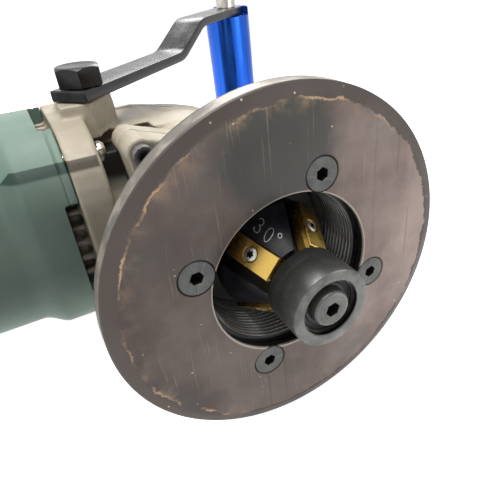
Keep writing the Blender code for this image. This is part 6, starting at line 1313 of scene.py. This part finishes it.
def seen_directly(tree):
    """1 for camera, glossy and transmission rays, which see the white ground."""
    path = tree.nodes.new("ShaderNodeLightPath")
    seen = path.outputs["Is Camera Ray"]
    for kind in ("Is Glossy Ray", "Is Transmission Ray"):
        either = tree.nodes.new("ShaderNodeMath")
        either.operation = "MAXIMUM"
        tree.links.new(seen, either.inputs[0])
        tree.links.new(path.outputs[kind], either.inputs[1])
        seen = either.outputs[0]
    return seen


def make_floor():
    bm = bmesh.new()
    bmesh.ops.create_grid(bm, x_segments=8, y_segments=8, size=FLOOR_REACH)
    mesh = bpy.data.meshes.new("floor")
    bm.to_mesh(mesh)
    bm.free()
    floor = bpy.data.objects.new("floor", mesh)
    bpy.context.scene.collection.objects.link(floor)
    floor.location = (0, 0, CAD_BOX[0].z - FLOOR_DROP)
    made = Finish("floor", 0.9, 0.0, specular=0.0)
    made.colour((0.80, 0.80, 0.80))
    glow = made.new("ShaderNodeEmission")
    made.feed(glow.inputs["Strength"], made.times(seen_directly(made.tree), FLOOR_GLOW))
    both = made.new("ShaderNodeAddShader")
    made.feed(both.inputs[0], made.shader.outputs[0])
    made.feed(both.inputs[1], glow.outputs[0])
    made.feed(made.tree.nodes["Material Output"].inputs["Surface"], both.outputs[0])
    mesh.materials.append(made.material)


def make_world():
    world = bpy.data.worlds.new("studio")
    bpy.context.scene.world = world
    world.use_nodes = True
    nodes, links = world.node_tree.nodes, world.node_tree.links
    nodes.clear()
    blend = nodes.new("ShaderNodeMixShader")
    links.new(seen_directly(world.node_tree), blend.inputs["Fac"])
    for number, strength in ((1, WORLD_LIGHT), (2, WORLD_WHITE)):
        shade = nodes.new("ShaderNodeBackground")
        shade.inputs["Color"].default_value = (1, 1, 1, 1)
        shade.inputs["Strength"].default_value = strength
        links.new(shade.outputs[0], blend.inputs[number])
    links.new(blend.outputs[0], nodes.new("ShaderNodeOutputWorld").inputs["Surface"])


def softbox(name, spot, target, wide, high, power):
    """A rectangular lamp in the tool's frame, facing a target."""
    lamp = bpy.data.lights.new(name, "AREA")
    lamp.shape, lamp.size, lamp.size_y, lamp.energy = "RECTANGLE", wide, high, power
    obj = bpy.data.objects.new(name, lamp)
    bpy.context.scene.collection.objects.link(obj)
    spot, target = TOOL @ Vector(spot), TOOL @ Vector(target)
    aim = (target - spot).to_track_quat("-Z", "Y").to_matrix().to_4x4()
    obj.matrix_world = Matrix.Translation(spot) @ aim
    obj.visible_camera = False


def make_camera():
    view = bpy.data.cameras.new("camera")
    camera = bpy.data.objects.new("camera", view)
    bpy.context.scene.collection.objects.link(camera)
    turned = Matrix((CAMERA_RIGHT, CAMERA_UP, CAMERA_BACK)).transposed().to_4x4()
    camera.matrix_world = TOOL @ Matrix.Translation(CAMERA_SPOT) @ turned
    view.lens, view.sensor_width = CAMERA_LENS, CAMERA_FILM
    view.shift_x, view.shift_y = CAMERA_SHIFT
    view.clip_start, view.clip_end = CAMERA_CLIP
    bpy.context.scene.camera = camera


make_floor()
make_world()
for name, lamp in LAMPS.items():
    softbox(name, *lamp)
make_camera()
bpy.context.scene.view_settings.view_transform = "Standard"
